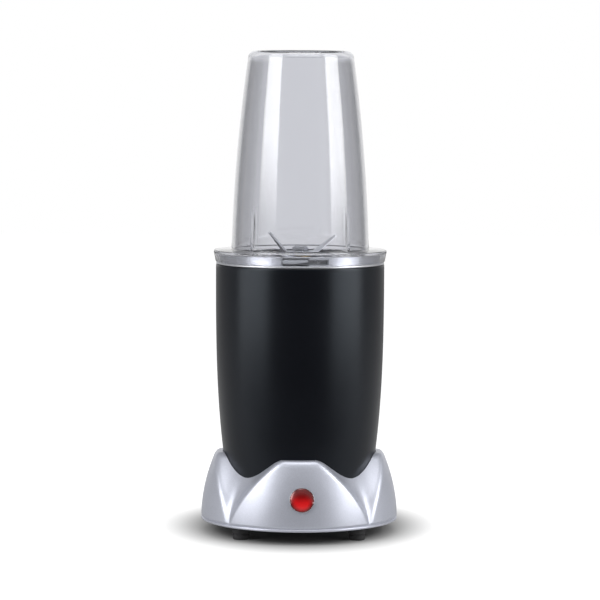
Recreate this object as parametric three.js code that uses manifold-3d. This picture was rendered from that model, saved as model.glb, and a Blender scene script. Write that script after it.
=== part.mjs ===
// A personal countertop blender: an inverted clear cup with its blade unit, which drops into a
// bayonet ring on top of a motor base. Millimetres, +Z up, the table at z = 0, the front towards -Y.

import * as THREE from "three";
import { mergeVertices } from "three/addons/utils/BufferGeometryUtils.js";
import Module from "manifold-3d";

const wasm = await Module();
wasm.setup();

// ---------------------------------------------------------------- Driving dimensions

const gap = 0.3; // between pieces that rest on or fit into each other
const runningGap = 0.5; // between pieces that turn or slide past each other
const past = 1; // how far a cutting solid passes beyond the faces that it cuts
const degrees = Math.PI / 180;
const quarterTurn = 90 * degrees;

// Sides of round pieces: casings, brackets and wheels, medium rounds, small rounds
const casingSides = 40;
const wheelSides = 24;
const mediumSides = 16;
const smallSides = 8;

// Feet
const footHeight = 9.4; // table to the base's rim
const footRadius = 6.2;
const footEdge = 0.9; // how much smaller a foot is where it stands on the table
const footEdgeHeight = 0.6;
const footTaper = 0.4;
const footClearance = 1.7; // barrel's spigot to a foot's barb
const footStemRadius = 2.6;
const footBarb = 0.9;
const footBarbHeight = 2.4;
const footSides = 12;

// Base skirt with four peaks
const skirtFlare = 10.2; // barrel's top edge to the rim
const skirtHeight = 48.6; // rim to the peaks
const skirtLean = 10.6; // how far a panel leans in over its height
const skirtWall = 2.6;
const skirtLip = 2.6;
const valleyFoot = 7.2; // rim to the lowest point of a valley
const valleySpread = 0.6; // first term of the valley's flare
const valleyFlare = 0.0085; // second term of the valley's flare
const valleyTilt = 9.6 * degrees;

// Bottom plate and its screws
const plateRecess = 1.0;
const plateThickness = 3.0;
const ventCount = 12;
const ventWidth = 3.2;
const ventLength = 15;
const ventInset = 4; // motor bolts' circle to the vents' outer ends
const screwAngle = 25 * degrees; // from the middle of a panel
const screwInset = 10.2; // rim to a screw's axis
const screwRadius = 1.5;
const screwHeadRadius = 3.0;
const screwHeadHeight = 1.3;
const screwLength = 13;
const screwHoleSpare = 2;
const screwBossRadius = 3.6;
const screwBossHeight = 17;
const screwBossRib = 2.4;

// Barrel
const barrelHeight = 183.1; // rim to the barrel's top edge
const barrelTaper = 7.5; // top edge's radius to the spigot's
const spigotHeight = 149; // top edge to the straight spigot inside the skirt
const barrelWall = 2.6;
const barrelLedge = 2.4; // width of the inner ledge that carries the well
const barrelLedgeHeight = 2.4;

// Bayonet ring
const ringHeight = 8.1; // barrel top to the ring's top
const ringWall = 2.1;
const ringSetback = 3.0; // ring's wall to the barrel's top edge
const ringLipInset = 0.1; // ring's lip to the barrel's top edge
const ringLedgeThickness = 2.0;
const ringLipHeight = 1.4;
const ringSpigotDepth = 6.3;
const ringSpigotWall = 1.4;
const tabCount = 3;
const tabHalfAngle = 8.6 * degrees;
const tabClearance = 0.75 * degrees;
const notchAngle = -3.3 * degrees; // first notch, measured from the front
const twistAngle = 14 * degrees; // from seated to locked
const grooveFloor = 3.2; // barrel top to the groove
const grooveHeight = 3.2;
const tabThickness = 2.3;
const tabBite = 0.8; // how far a tab reaches into the collar's wall

// Activator pins, switch
const pinRadius = 1.7;
const pinHoleClearance = 0.4;
const pinAngle = 16 * degrees; // ahead of a notch
const pinTravel = 2.0;
const pinTip = 0.5; // chamfer at a pin's tip
const pinFootRise = 2.4; // well's underside to a pin's foot
const pinCollarRadius = 2.5;
const pinCollarThickness = 1.5;
const springWire = 0.6;
const springTurns = 3;
const pinSpringSpace = 8.2; // pin shelf to a pin's collar
const switchLength = 20;
const switchWidth = 6.4;
const switchHeight = 10.4;
const switchSetback = 3; // switch's outer end to the button's axis
const buttonSize = 3;
const buttonHeight = 4;
const buttonTravel = 1.0;

// Well that takes the blade unit
const wellFloor = 2.4;
const wellWall = 1.2;
const shelfDrop = 16.5; // barrel top to the underside of the pin shelf
const shelfThickness = 2.2;
const sealRadius = 9.0;
const sealCollar = 2.2;
const sealCollarDepth = 2;
const sealDrop = 1.6; // well's underside to the seal's
const sealRise = 0.8;
const sealLip = 3;

// Cup
const cupHeight = 141.7; // flange top to the closed end
const cupStep = 3.0; // neck's outside to the cup's outside at the flange
const cupTaper = 3.97; // first term of the cup's taper
const cupBarrelling = 8.17; // second term of the cup's taper
const cupWall = 2.4;
const cupEndThickness = 4.0;
const cupEndFillet = 5.0;
const cupInnerFillet = 4.0;
const flangeOverhang = 1.5; // barrel's top edge to the flange's edge
const flangeThickness = 1.9;
const flangeEdge = 0.7;
const collarWall = 1.6;
const collarTaper = 1.3;
const collarClearance = 0.4; // collar's lower edge to the ring's lip
const neckRadius = 46.2;
const neckWall = 2.2;
const neckDepth = 16.2;
const neckShoulder = 2; // flange to where the neck's bore starts to widen
const ribCount = 4;
const ribHeight = 30;
const ribDepth = 1.8;
const ribWidth = 2.4;

// Blade unit
const holderWall = 2.1;
const holderFloor = 2.2;
const threadClearance = 0.4;
const gasketThickness = 0.9;
const bossBaseRadius = 16;
const bossTopRadius = 9;
const bossHeight = 13.3;
const spindleRadius = 3.0;
const sleeveRadius = 6.0;
const sleeveFlangeRadius = 8.0;
const sleeveFlange = 1.2;
const bladeThickness = 1.5;
const bladeWidth = 11;
const bladeReach = 11; // axis to the bend
const bladeTip = 2; // half the width of a tip's back corner
const upperArm = 19.5; // bend to the tip
const lowerArm = 19;
const steepBend = 50 * degrees;
const shallowBend = 37 * degrees;
const lowerBend = -8 * degrees;
const upperBladeAngle = 14 * degrees;
const lowerBladeAngle = 52 * degrees;
const bladeNutRadius = 5.5;
const bladeNutHeight = 3.4;
const bladeNutCap = 0.9;

// Coupling between the motor and the blade unit
const couplingTeeth = 6;
const couplingRoot = 6.6;
const couplingTip = 9.0;
const couplingHeight = 8.0;
const couplingWall = 3.6;
const couplingRoof = 3.2;
const couplingRise = 1.8; // well floor's top to the drive coupling
const couplingClearance = 1.1; // driven coupling to the blade holder
const drivenLip = 0.4; // how much higher the driven coupling's edge starts
const toothShare = 0.45; // of a pitch
const toothLean = 0.06; // radians by which a tooth's foot is wider at each side

// Motor
const shaftRadius = 4.0;
const boltAngle = 41.2 * degrees; // from the sides
const boltInset = 7; // laminations' edge to a bolt's axis
const boltTipDrop = 5; // well's underside to the bolts' tips
const boltRadius = 2.0;
const boltHeadRadius = 3.4;
const boltHeadHeight = 2.2;
const pillarRadius = 4.6;
const damperRadius = 7;
const damperClearance = 0.7; // dampers to the barrel's inside
const damperHeight = 5.6;
const postHeight = 13.6; // plate top to a damper
const bracketThickness = 3.0;
const bracketClearance = 3.2; // brackets to the barrel's inside
const bracketRim = 4;
const bracketPostRadius = 3.4;
const windowMargin = 2; // bearing cup or brush gear to a bracket's windows
const windowHalfAngle = 28 * degrees;
const bearingRadius = 11;
const bearingHeight = 7;
const bearingCupWall = 2.2;
const bearingStep = 1.2;
const bearingBore = 0.2; // clearance on the shaft
const bearingHeadroom = 1.6; // upper bearing to the switch
const stackRise = 41.5; // lower bracket's top to the laminations
const statorWall = 8;
const statorCorner = 14;
const airGap = 0.6;
const poleShoe = 4;
const poleShoeHalfAngle = 52 * degrees;
const poleNeckWidth = 22;
const poleNeckBite = 1.5; // how far a neck reaches into its shoe
const coilThickness = 6.5;
const coilSpan = 5; // between a pole's shoe and the frame
const armatureSlots = 8;
const armatureSlotWidth = 2.6;
const armatureSlotDepth = 5.5;
const windingHeight = 9.5;
const windingInset = 3.3; // armature's edge to a winding's
const windingBevel = 2.5;
const commutatorRadius = 10.5;
const commutatorHeight = 14;
const commutatorRise = 12; // laminations to the commutator
const commutatorBars = 12;
const kerfWidth = 0.6;
const kerfDepth = 0.8;
const brushSize = 6;
const brushLength = 12;
const brushOverhang = 3; // brush's face to the mouth of its holder
const brushSpringLength = 9;
const holderBoxWall = 1.4;
const holderWebDepth = 8;
const holderWebInset = 3.2; // mouth of a brush holder to its web
const upperBracketRise = 30; // laminations to the upper bracket
const fanClearance = 6.1; // bracket posts to the fan
const fanHubRadius = 9;
const fanBlades = 7;
const fanBladeThickness = 1.6;
const fanBladeAngle = 25 * degrees;
const fanHeight = 11;
const fanDisc = 1.8;
const fanRise = 11; // lower bracket's top to the fan

// Badge, cord gland
const badgeRadius = 8.8;
const badgeHeight = 22.4; // rim to the badge's middle
const badgeOffset = 2.0; // to the right of the front panel's middle
const badgeDome = 2.4;
const badgeSeat = 1.6; // depth of the recess that it sits in
const badgeEdge = 0.5; // straight edge under the dome
const glandHeight = 17;
const glandHole = 3.4;
const glandWall = 1.3;
const glandFlange = 6.7;
const glandFlangeThickness = 1.5;
const glandRecess = 1.2; // depth of the flat that the flange lies on
const glandDepth = 9;

// ---------------------------------------------------------------- Levels and radii worked out

const holderInnerRadius = neckRadius + threadClearance;
const holderRadius = holderInnerRadius + holderWall;
const wellRadius = holderRadius + runningGap; // inside
const wellOuterRadius = wellRadius + wellWall;
const pinCircle = wellOuterRadius + gap + pinCollarRadius;
const ringInner = pinCircle + pinRadius + gap;
const ringRadius = ringInner + ringWall;
const barrelRadius = ringRadius + ringSetback; // at the top edge
const spigotRadius = barrelRadius - barrelTaper;
const flangeRadius = barrelRadius + flangeOverhang;
const cupRadius = neckRadius + cupStep; // at the flange
const rimRadius = barrelRadius + skirtFlare;
const footCircle = spigotRadius + footClearance + footBarb + footStemRadius;
const screwCircle = rimRadius - screwInset;

const rimZ = footHeight;
const skirtTopZ = rimZ + skirtHeight;
const plateZ = rimZ + plateRecess;
const plateTopZ = plateZ + plateThickness;
const barrelTopZ = rimZ + barrelHeight;
const spigotTopZ = barrelTopZ - spigotHeight;
const ringBottomZ = barrelTopZ + gap;
const ringTopZ = barrelTopZ + ringHeight;
const ringLedgeZ = ringBottomZ + ringLedgeThickness;
const grooveZ = barrelTopZ + grooveFloor;
const flangeZ = ringTopZ + gap;
const flangeTopZ = flangeZ + flangeThickness;
const cupTopZ = flangeTopZ + cupHeight;
const neckBottomZ = flangeZ - neckDepth;
const gasketZ = neckBottomZ - gap - gasketThickness;
const holderTopZ = flangeZ - runningGap;
const holderFloorTopZ = gasketZ - gap;
const holderBottomZ = holderFloorTopZ - holderFloor;
const drivenTopZ = holderBottomZ - couplingClearance;
const drivenRoofZ = drivenTopZ - couplingRoof;
const couplingTopZ = drivenRoofZ - runningGap;
const couplingZ = couplingTopZ - couplingHeight;
const wellFloorZ = couplingZ - couplingRise;
const wellBottomZ = wellFloorZ - wellFloor;
const shelfZ = barrelTopZ - shelfDrop;
const shelfTopZ = shelfZ + shelfThickness;
const tabTopZ = grooveZ + grooveHeight - gap;
const tabZ = tabTopZ - tabThickness;
const wellTopZ = tabZ - 2 * gap;
const pinLowZ = tabZ - gap; // pin's top when it is pressed
const pinTopZ = pinLowZ + pinTravel;
const pinBottomZ = wellBottomZ + pinFootRise;
const pinCollarZ = shelfTopZ + pinSpringSpace;
const pinHoleRadius = pinRadius + pinHoleClearance;
const switchTopZ = wellBottomZ - gap;
const switchBottomZ = switchTopZ - switchHeight;
const buttonTopZ = pinBottomZ - pinTravel + buttonTravel - 2 * gap;
const bossTopZ = holderFloorTopZ + bossHeight;
const lowerBladeZ = bossTopZ + gap + sleeveFlange + gap;
const upperBladeZ = lowerBladeZ + bladeThickness + gap;
const bladeNutZ = upperBladeZ + bladeThickness + gap;
const postTopZ = plateTopZ + postHeight;
const lowerBracketZ = postTopZ + gap + damperHeight + gap;
const lowerBracketTopZ = lowerBracketZ + bracketThickness;
const upperBracketTopZ = switchBottomZ - bearingHeadroom - bearingHeight;
const upperBracketZ = upperBracketTopZ - bracketThickness;
const boltTopZ = wellBottomZ - boltTipDrop;
const stackZ = lowerBracketTopZ + stackRise;
const stackTopZ = upperBracketZ - upperBracketRise;
const stackHeight = stackTopZ - stackZ;
const commutatorZ = stackTopZ + commutatorRise;
const brushZ = commutatorZ + commutatorHeight / 2;
const brushFace = commutatorRadius + gap;
const brushEnd = brushFace + brushLength;
const holderBoxStart = brushFace + brushOverhang;
const holderBoxEnd = brushEnd + brushSpringLength + gap + holderBoxWall;
const holderWebStart = holderBoxStart + holderWebInset;
const holderWebEnd = holderWebStart + holderWebDepth;

const motorBay = spigotRadius - barrelWall; // the barrel's inside where it is narrowest
const bracketRadius = motorBay - bracketClearance;
const boltCircle = motorBay - damperClearance - damperRadius;
const [boltX, boltY] = polar(boltCircle, boltAngle);
const postPlaces = [[boltX, boltY], [-boltX, boltY], [-boltX, -boltY], [boltX, -boltY]];
const boltPlaces = [postPlaces[0], postPlaces[2]];
const ventCircle = boltCircle - ventInset - ventLength / 2;
const fanRadius = boltCircle - bracketPostRadius - fanClearance;
const bearingCupRadius = bearingRadius + gap + bearingCupWall;
const statorLength = 2 * (boltX + boltInset);
const statorDepth = 2 * (boltY + boltInset);
const yokeInside = statorLength / 2 - statorWall;
const shoeRadius = yokeInside - coilSpan - 2 * gap;
const boreRadius = shoeRadius - poleShoe;
const armatureRadius = boreRadius - airGap;
const windingRadius = armatureRadius - windingInset;

const glandSeat = skirtRadius(glandHeight) - glandRecess;
const pinAngles = Array.from(
  { length: tabCount },
  (_, i) => notchAngle + pinAngle + (i * 2 * Math.PI) / tabCount - quarterTurn,
);

// ---------------------------------------------------------------- Geometry helpers

// A closed three.js geometry as a solid that can be cut and joined.
function solidFrom(geometry) {
  const bare = geometry.clone();
  bare.deleteAttribute("normal");
  bare.deleteAttribute("uv");
  const merged = mergeVertices(bare, 1e-4);
  const mesh = new wasm.Mesh({
    numProp: 3,
    vertProperties: merged.attributes.position.array,
    triVerts: new Uint32Array(merged.index.array),
  });
  return new wasm.Manifold(mesh);
}

function geometryFrom(solid) {
  const mesh = solid.getMesh();
  const geometry = new THREE.BufferGeometry();
  geometry.setAttribute("position", new THREE.BufferAttribute(mesh.vertProperties, 3));
  geometry.setIndex(new THREE.BufferAttribute(mesh.triVerts, 1));
  return geometry;
}

function join(first, ...others) {
  return geometryFrom(others.reduce((sum, g) => sum.add(solidFrom(g)), solidFrom(first)));
}

function cut(first, ...others) {
  return geometryFrom(others.reduce((rest, g) => rest.subtract(solidFrom(g)), solidFrom(first)));
}

function overlapOf(first, second) {
  return geometryFrom(solidFrom(first).intersect(solidFrom(second)));
}

// Turns a closed [radius, height] profile about the Z axis.
function revolve(profile, segments = casingSides) {
  const ring = profile[0][0] > 0 ? [...profile, profile[0]] : profile;
  let area = 0;
  for (let i = 0; i < ring.length; i += 1) {
    const [r0, z0] = ring[i];
    const [r1, z1] = ring[(i + 1) % ring.length];
    area += r0 * z1 - r1 * z0;
  }
  const ordered = area > 0 ? ring : [...ring].reverse();
  const points = ordered.map(([r, z]) => new THREE.Vector2(r, z));
  return new THREE.LatheGeometry(points, segments).rotateX(quarterTurn);
}

function disc(radius, z0, z1, segments = mediumSides) {
  return revolve([[0, z0], [radius, z0], [radius, z1], [0, z1]], segments);
}

function tube(inner, outer, z0, z1, segments = mediumSides) {
  return revolve([[inner, z0], [outer, z0], [outer, z1], [inner, z1]], segments);
}

function block(width, depth, height, x, y, z) {
  return new THREE.BoxGeometry(width, depth, height).translate(x, y, z + height / 2);
}

function prism(shape, z0, z1, curveSegments = 8) {
  const options = { depth: z1 - z0, bevelEnabled: false, curveSegments };
  return new THREE.ExtrudeGeometry(shape, options).translate(0, 0, z0);
}

// A piece of a ring between two angles.
function sector(inner, outer, from, to, z0, z1, steps = 3) {
  const shape = new THREE.Shape();
  shape.absarc(0, 0, outer, from, to, false);
  shape.absarc(0, 0, inner, to, from, true);
  return prism(shape, z0, z1, steps);
}

function polygon(points) {
  return new THREE.Shape(points.map(([x, y]) => new THREE.Vector2(x, y)));
}

function around(count, make, start = 0) {
  return Array.from({ length: count }, (_, i) => make(start + (i * 2 * Math.PI) / count, i));
}

function polar(radius, angle) {
  return [radius * Math.cos(angle), radius * Math.sin(angle)];
}

// ---------------------------------------------------------------- Materials and nodes

const silver = { color: 0xb3b6bb, roughness: 0.38, metalness: 0.7 };
const blackSatin = { color: 0x111314, roughness: 0.42, metalness: 0 };
const darkPlastic = { color: 0x2b2d30, roughness: 0.6, metalness: 0 };
const greyPlastic = { color: 0x8d9094, roughness: 0.5, metalness: 0 };
const clearPlastic = { color: 0xdfe2e8, roughness: 0.08, metalness: 0, opacity: 0.35, transparent: true };
const rubber = { color: 0x17181a, roughness: 0.85, metalness: 0 };
const greyRubber = { color: 0x6f7276, roughness: 0.8, metalness: 0 };
const redGloss = { color: 0xc01620, roughness: 0.12, metalness: 0 };
const steel = { color: 0xc4c7ca, roughness: 0.25, metalness: 1 };
const lamination = { color: 0x5d6166, roughness: 0.55, metalness: 0.9 };
const copper = { color: 0xb0642d, roughness: 0.4, metalness: 0.9 };
const brass = { color: 0xc79a4a, roughness: 0.35, metalness: 1 };
const carbon = { color: 0x222222, roughness: 0.9, metalness: 0.1 };

const blender = new THREE.Group();

function add(name, geometry, finish) {
  const mesh = new THREE.Mesh(geometry, new THREE.MeshStandardMaterial(finish));
  mesh.name = name;
  blender.add(mesh);
  return mesh;
}

// ---------------------------------------------------------------- Shared outlines

function skirtRadius(height) {
  return rimRadius - skirtLean * (height / skirtHeight) ** 2;
}

function barrelRadiusAt(z) {
  const depth = Math.min(barrelTopZ - z, spigotHeight);
  return barrelRadius - barrelTaper * (depth / spigotHeight) ** 3;
}

// Outer [radius, z] points of the barrel from z0 up to its top edge, moved in by an offset.
function barrelOutline(z0, offset, steps = 9) {
  return Array.from({ length: steps + 1 }, (_, i) => {
    const z = z0 + ((barrelTopZ - z0) * i) / steps;
    return [barrelRadiusAt(z) + offset, z];
  });
}

// ---------------------------------------------------------------- Base skirt

// The flared solid that scoops one valley out of the skirt, lowered along its own axis by drop.
function valley(drop, steps, sides) {
  const height = skirtHeight;
  const profile = Array.from({ length: steps + 1 }, (_, i) => {
    const u = (height * i) / steps;
    return [valleySpread * u + valleyFlare * u * u, u];
  });
  profile.push([0, height]);
  return revolve(profile, sides)
    .translate(0, 0, -drop)
    .rotateY(valleyTilt)
    .translate(rimRadius, 0, rimZ + valleyFoot);
}

function skirtBody(inset, topZ, bottomZ, steps) {
  const height = topZ - rimZ;
  const profile = [[0, bottomZ], [skirtRadius(0) - inset, bottomZ]];
  for (let i = 1; i <= steps; i += 1) {
    const h = (height * i) / steps;
    profile.push([skirtRadius(h) - inset, rimZ + h]);
  }
  profile.push([0, topZ]);
  return revolve(profile);
}

function buildSkirt() {
  const wallDrop = skirtWall / Math.sin(Math.atan(valleySpread));
  const valleys = around(4, (a) => valley(0, 6, 28).rotateZ(a), quarterTurn / 2);
  const innerValleys = around(4, (a) => valley(wallDrop, 3, 14).rotateZ(a), quarterTurn / 2);
  const hollow = cut(skirtBody(skirtWall, skirtTopZ - skirtLip, rimZ - past, 4), ...innerValleys);
  const passage = revolve([[0, rimZ], ...barrelOutline(rimZ, gap, 9), [0, barrelTopZ]]);
  const shell = cut(skirtBody(0, skirtTopZ, rimZ, 6), ...valleys, hollow, passage);

  const bossZ = plateTopZ + gap;
  const bosses = around(4, (a) => {
    const [x, y] = polar(screwCircle, a);
    const reach = skirtRadius(screwBossHeight) - skirtWall / 2 - screwCircle;
    const rib = block(reach, screwBossRib, screwBossHeight, screwCircle + reach / 2, 0, bossZ).rotateZ(a);
    const boss = disc(screwBossRadius, bossZ, bossZ + screwBossHeight, smallSides);
    return join(boss.translate(x, y, 0), rib);
  }, screwAngle);
  const screwHoles = around(4, (a) => {
    const [x, y] = polar(screwCircle, a);
    const top = plateZ + screwLength + screwHoleSpare;
    return disc(screwRadius + gap, bossZ - past, top, smallSides).translate(x, y, 0);
  }, screwAngle);

  const badgeHole = alongPanel(disc(badgeRadius + gap, -badgeSeat, badgeSeat + badgeDome));
  const glandBore = disc(glandHole + glandWall + gap, 0, rimRadius);
  const glandPocket = disc(glandFlange + gap, glandSeat, rimRadius);
  return cut(
    join(shell, ...bosses),
    ...screwHoles,
    badgeHole,
    outwardAtRear(glandBore),
    outwardAtRear(glandPocket),
  );
}

// Places geometry whose axis is Z so that it stands on the front panel at the badge's middle.
function alongPanel(geometry) {
  const lean = Math.atan((2 * skirtLean * badgeHeight) / skirtHeight ** 2);
  return geometry
    .rotateX(quarterTurn - lean)
    .translate(badgeOffset, -skirtRadius(badgeHeight), rimZ + badgeHeight);
}

// Turns geometry whose axis is Z to point out of the back, at the gland's height.
function outwardAtRear(geometry) {
  return geometry.rotateX(-quarterTurn).translate(0, 0, rimZ + glandHeight);
}

function buildBadge() {
  const steps = 5;
  const seat = gap - badgeSeat;
  const profile = [[0, seat]];
  for (let i = 0; i < steps; i += 1) {
    const a = (quarterTurn * i) / steps;
    profile.push([badgeRadius * Math.cos(a), seat + badgeEdge + badgeDome * Math.sin(a)]);
  }
  profile.splice(1, 0, [badgeRadius, seat]);
  profile.push([0, seat + badgeEdge + badgeDome]);
  return alongPanel(revolve(profile, mediumSides));
}

function buildGland() {
  const outer = glandHole + glandWall;
  const profile = [
    [glandHole, glandSeat - glandDepth],
    [outer, glandSeat - glandDepth],
    [outer, glandSeat + gap],
    [glandFlange, glandSeat + gap],
    [glandFlange, glandSeat + gap + glandFlangeThickness],
    [glandHole, glandSeat + gap + glandFlangeThickness],
  ];
  return outwardAtRear(revolve(profile, mediumSides));
}

add("base_skirt", buildSkirt(), silver);
add("badge", buildBadge(), redGloss);
add("cord_gland", buildGland(), rubber);

// ---------------------------------------------------------------- Bottom plate, screws, feet

function buildBottomPlate() {
  const radius = rimRadius - skirtWall - runningGap;
  const plate = disc(radius, plateZ, plateTopZ, casingSides);
  const posts = postPlaces.map(([x, y]) =>
    disc(damperRadius, plateTopZ - past, postTopZ, smallSides).translate(x, y, 0),
  );
  const vents = around(ventCount, (a) =>
    block(ventLength, ventWidth, plateThickness + 2 * past, ventCircle, 0, plateZ - past).rotateZ(a),
  );
  const screwHoles = around(4, (a) => {
    const [x, y] = polar(screwCircle, a);
    const hole = disc(screwRadius + gap, plateZ - past, plateTopZ + past, smallSides);
    const recess = disc(screwHeadRadius + gap, plateZ - past, plateZ + screwHeadHeight + gap, smallSides);
    return join(hole, recess).translate(x, y, 0);
  }, screwAngle);
  const footHoles = around(4, (a) => {
    const [x, y] = polar(footCircle, a);
    return disc(footStemRadius + gap, plateZ - past, plateTopZ + past, smallSides).translate(x, y, 0);
  }, quarterTurn / 2);
  return join(cut(plate, ...vents, ...screwHoles, ...footHoles), ...posts);
}

function buildBaseScrew() {
  const headZ = plateZ;
  return revolve([
    [0, headZ],
    [screwHeadRadius, headZ],
    [screwHeadRadius, headZ + screwHeadHeight],
    [screwRadius, headZ + screwHeadHeight],
    [screwRadius, headZ + screwLength],
    [0, headZ + screwLength],
  ], smallSides);
}

function buildFoot() {
  const barbZ = plateTopZ + gap;
  return revolve([
    [0, 0],
    [footRadius - footEdge, 0],
    [footRadius - footTaper, footEdgeHeight],
    [footRadius, plateZ - gap],
    [footStemRadius, plateZ - gap],
    [footStemRadius, barbZ],
    [footStemRadius + footBarb, barbZ],
    [footStemRadius, barbZ + footBarbHeight],
    [0, barbZ + footBarbHeight],
  ], footSides);
}

add("bottom_plate", buildBottomPlate(), darkPlastic);
around(4, (a, i) => {
  const [x, y] = polar(screwCircle, a);
  add(`base_screw_${i + 1}`, buildBaseScrew(), steel).position.set(x, y, 0);
}, screwAngle);
around(4, (a, i) => {
  const [x, y] = polar(footCircle, a);
  add(`rubber_foot_${i + 1}`, buildFoot(), rubber).position.set(x, y, 0);
}, quarterTurn / 2);

// ---------------------------------------------------------------- Barrel

const ledgeInner = barrelRadiusAt(shelfZ) - barrelWall - barrelLedge;

function buildBarrel() {
  const bottom = plateTopZ + gap;
  const ledgeTop = shelfZ - gap;
  const ledgeBottom = ledgeTop - barrelLedgeHeight;
  const outside = [[barrelRadiusAt(bottom), bottom], ...barrelOutline(spigotTopZ, 0, 7)];
  const insideRadius = (z) => barrelRadiusAt(z) - barrelWall;
  const steps = 3;
  const inside = [
    [insideRadius(barrelTopZ), barrelTopZ],
    [insideRadius(ledgeTop), ledgeTop],
    [ledgeInner, ledgeTop],
    [ledgeInner, ledgeBottom],
    [insideRadius(ledgeBottom), ledgeBottom - barrelLedge],
  ];
  for (let i = 1; i <= steps; i += 1) {
    const z = ledgeBottom - barrelLedge + ((spigotTopZ - ledgeBottom + barrelLedge) * i) / steps;
    inside.push([insideRadius(z), z]);
  }
  inside.push([insideRadius(bottom), bottom]);
  return revolve([...outside, ...inside]);
}

add("barrel_housing", buildBarrel(), blackSatin);

// ---------------------------------------------------------------- Bayonet ring

const ringLedgeInner = wellOuterRadius + gap;
const ringSpigotRadius = barrelRadius - barrelWall - gap;

function buildRing() {
  const body = revolve([
    [ringLedgeInner, ringBottomZ],
    [ringSpigotRadius - ringSpigotWall, ringBottomZ],
    [ringSpigotRadius - ringSpigotWall, barrelTopZ - ringSpigotDepth],
    [ringSpigotRadius, barrelTopZ - ringSpigotDepth],
    [ringSpigotRadius, ringBottomZ],
    [barrelRadius - ringLipInset, ringBottomZ],
    [barrelRadius - ringLipInset, ringBottomZ + ringLipHeight],
    [ringRadius, ringBottomZ + ringLipHeight],
    [ringRadius, ringTopZ],
    [ringInner, ringTopZ],
    [ringInner, ringLedgeZ],
    [ringLedgeInner, ringLedgeZ],
  ]);
  const half = tabHalfAngle + tabClearance;
  const slots = around(tabCount, (a) => {
    const front = a + notchAngle - quarterTurn;
    const end = front + half + twistAngle;
    const inner = ringInner - past;
    const outer = ringRadius + past;
    const notch = sector(inner, outer, front - half, front + half, ringLedgeZ, ringTopZ + past);
    const groove = sector(inner, outer, front, end, grooveZ, grooveZ + grooveHeight, 6);
    return join(notch, groove);
  });
  const pinHoles = pinAngles.map((a) => {
    const [x, y] = polar(pinCircle, a);
    return disc(pinHoleRadius, ringBottomZ - past, ringLedgeZ + past, smallSides).translate(x, y, 0);
  });
  return cut(body, ...slots, ...pinHoles);
}

add("bayonet_ring", buildRing(), silver);

// ---------------------------------------------------------------- Well and its seal

function buildWell() {
  const hub = sealRadius + gap;
  const hubZ = wellBottomZ - sealCollarDepth;
  const shelfEdge = barrelRadiusAt(shelfZ) - barrelWall - gap;
  const body = revolve([
    [hub, hubZ],
    [hub + sealCollar, hubZ],
    [hub + sealCollar, wellBottomZ],
    [wellOuterRadius, wellBottomZ],
    [wellOuterRadius, shelfZ],
    [shelfEdge, shelfZ],
    [shelfEdge, shelfTopZ],
    [wellOuterRadius, shelfTopZ],
    [wellOuterRadius, wellTopZ],
    [wellRadius, wellTopZ],
    [wellRadius, wellFloorZ],
    [hub, wellFloorZ],
  ]);
  const pillars = postPlaces.map(([x, y]) =>
    disc(pillarRadius, upperBracketTopZ + gap, wellBottomZ + past, smallSides).translate(x, y, 0),
  );
  const boltHoles = boltPlaces.map(([x, y]) =>
    disc(boltRadius + gap, upperBracketTopZ - past, boltTopZ + past, smallSides).translate(x, y, 0),
  );
  const pinHoles = pinAngles.map((a) => {
    const [x, y] = polar(pinCircle, a);
    return disc(pinHoleRadius, shelfZ - past, shelfTopZ + past, smallSides).translate(x, y, 0);
  });
  return cut(join(body, ...pillars), ...boltHoles, ...pinHoles);
}

function buildSeal() {
  const bottom = wellBottomZ - sealDrop;
  return revolve([
    [shaftRadius + gap, bottom],
    [sealRadius, bottom],
    [sealRadius, wellFloorZ + sealRise],
    [shaftRadius + sealLip, wellFloorZ + sealRise],
    [shaftRadius + gap, wellFloorZ],
  ], mediumSides);
}

add("well_insert", buildWell(), greyPlastic);
add("shaft_seal", buildSeal(), rubber);

// ---------------------------------------------------------------- Activator pins, springs, switch

function buildPin() {
  const collarTopZ = pinCollarZ + pinCollarThickness;
  return revolve([
    [0, pinBottomZ],
    [pinRadius, pinBottomZ],
    [pinRadius, pinCollarZ],
    [pinCollarRadius, pinCollarZ],
    [pinCollarRadius, collarTopZ],
    [pinRadius, collarTopZ],
    [pinRadius, pinTopZ - pinTip],
    [pinRadius - pinTip, pinTopZ],
    [0, pinTopZ],
  ], smallSides);
}

class Helix extends THREE.Curve {
  constructor(radius, height, turns) {
    super();
    Object.assign(this, { radius, height, turns });
  }

  getPoint(t) {
    const a = 2 * Math.PI * this.turns * t;
    return new THREE.Vector3(this.radius * Math.cos(a), this.radius * Math.sin(a), this.height * t);
  }
}

function coil(radius, wire, height, turns) {
  const path = new Helix(radius, height - wire, turns);
  const section = polygon(around(4, (a) => polar(wire / 2, a)));
  return new THREE.ExtrudeGeometry(section, {
    steps: 8 * turns,
    extrudePath: path,
    bevelEnabled: false,
  });
}

function buildPinSpring() {
  const space = pinSpringSpace - 2 * gap;
  return coil(pinRadius + gap + springWire / 2, springWire, space, springTurns)
    .translate(0, 0, shelfTopZ + gap + springWire / 2);
}

pinAngles.forEach((a, i) => {
  const [x, y] = polar(pinCircle, a);
  add(`activator_pin_${i + 1}`, buildPin(), darkPlastic).position.set(x, y, 0);
  add(`pin_spring_${i + 1}`, buildPinSpring(), steel).position.set(x, y, 0);
});

function buildSwitchBody() {
  const middle = pinCircle - switchLength / 2 + switchSetback;
  const body = block(switchLength, switchWidth, switchHeight, middle, 0, switchBottomZ);
  const pocketSize = buttonSize + 2 * gap;
  const pocketZ = buttonTopZ - buttonHeight - buttonTravel - gap;
  return cut(body, block(pocketSize, pocketSize, switchHeight, pinCircle, 0, pocketZ));
}

function buildSwitchButton() {
  return block(buttonSize, buttonSize, buttonHeight, pinCircle, 0, buttonTopZ - buttonHeight);
}

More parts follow.
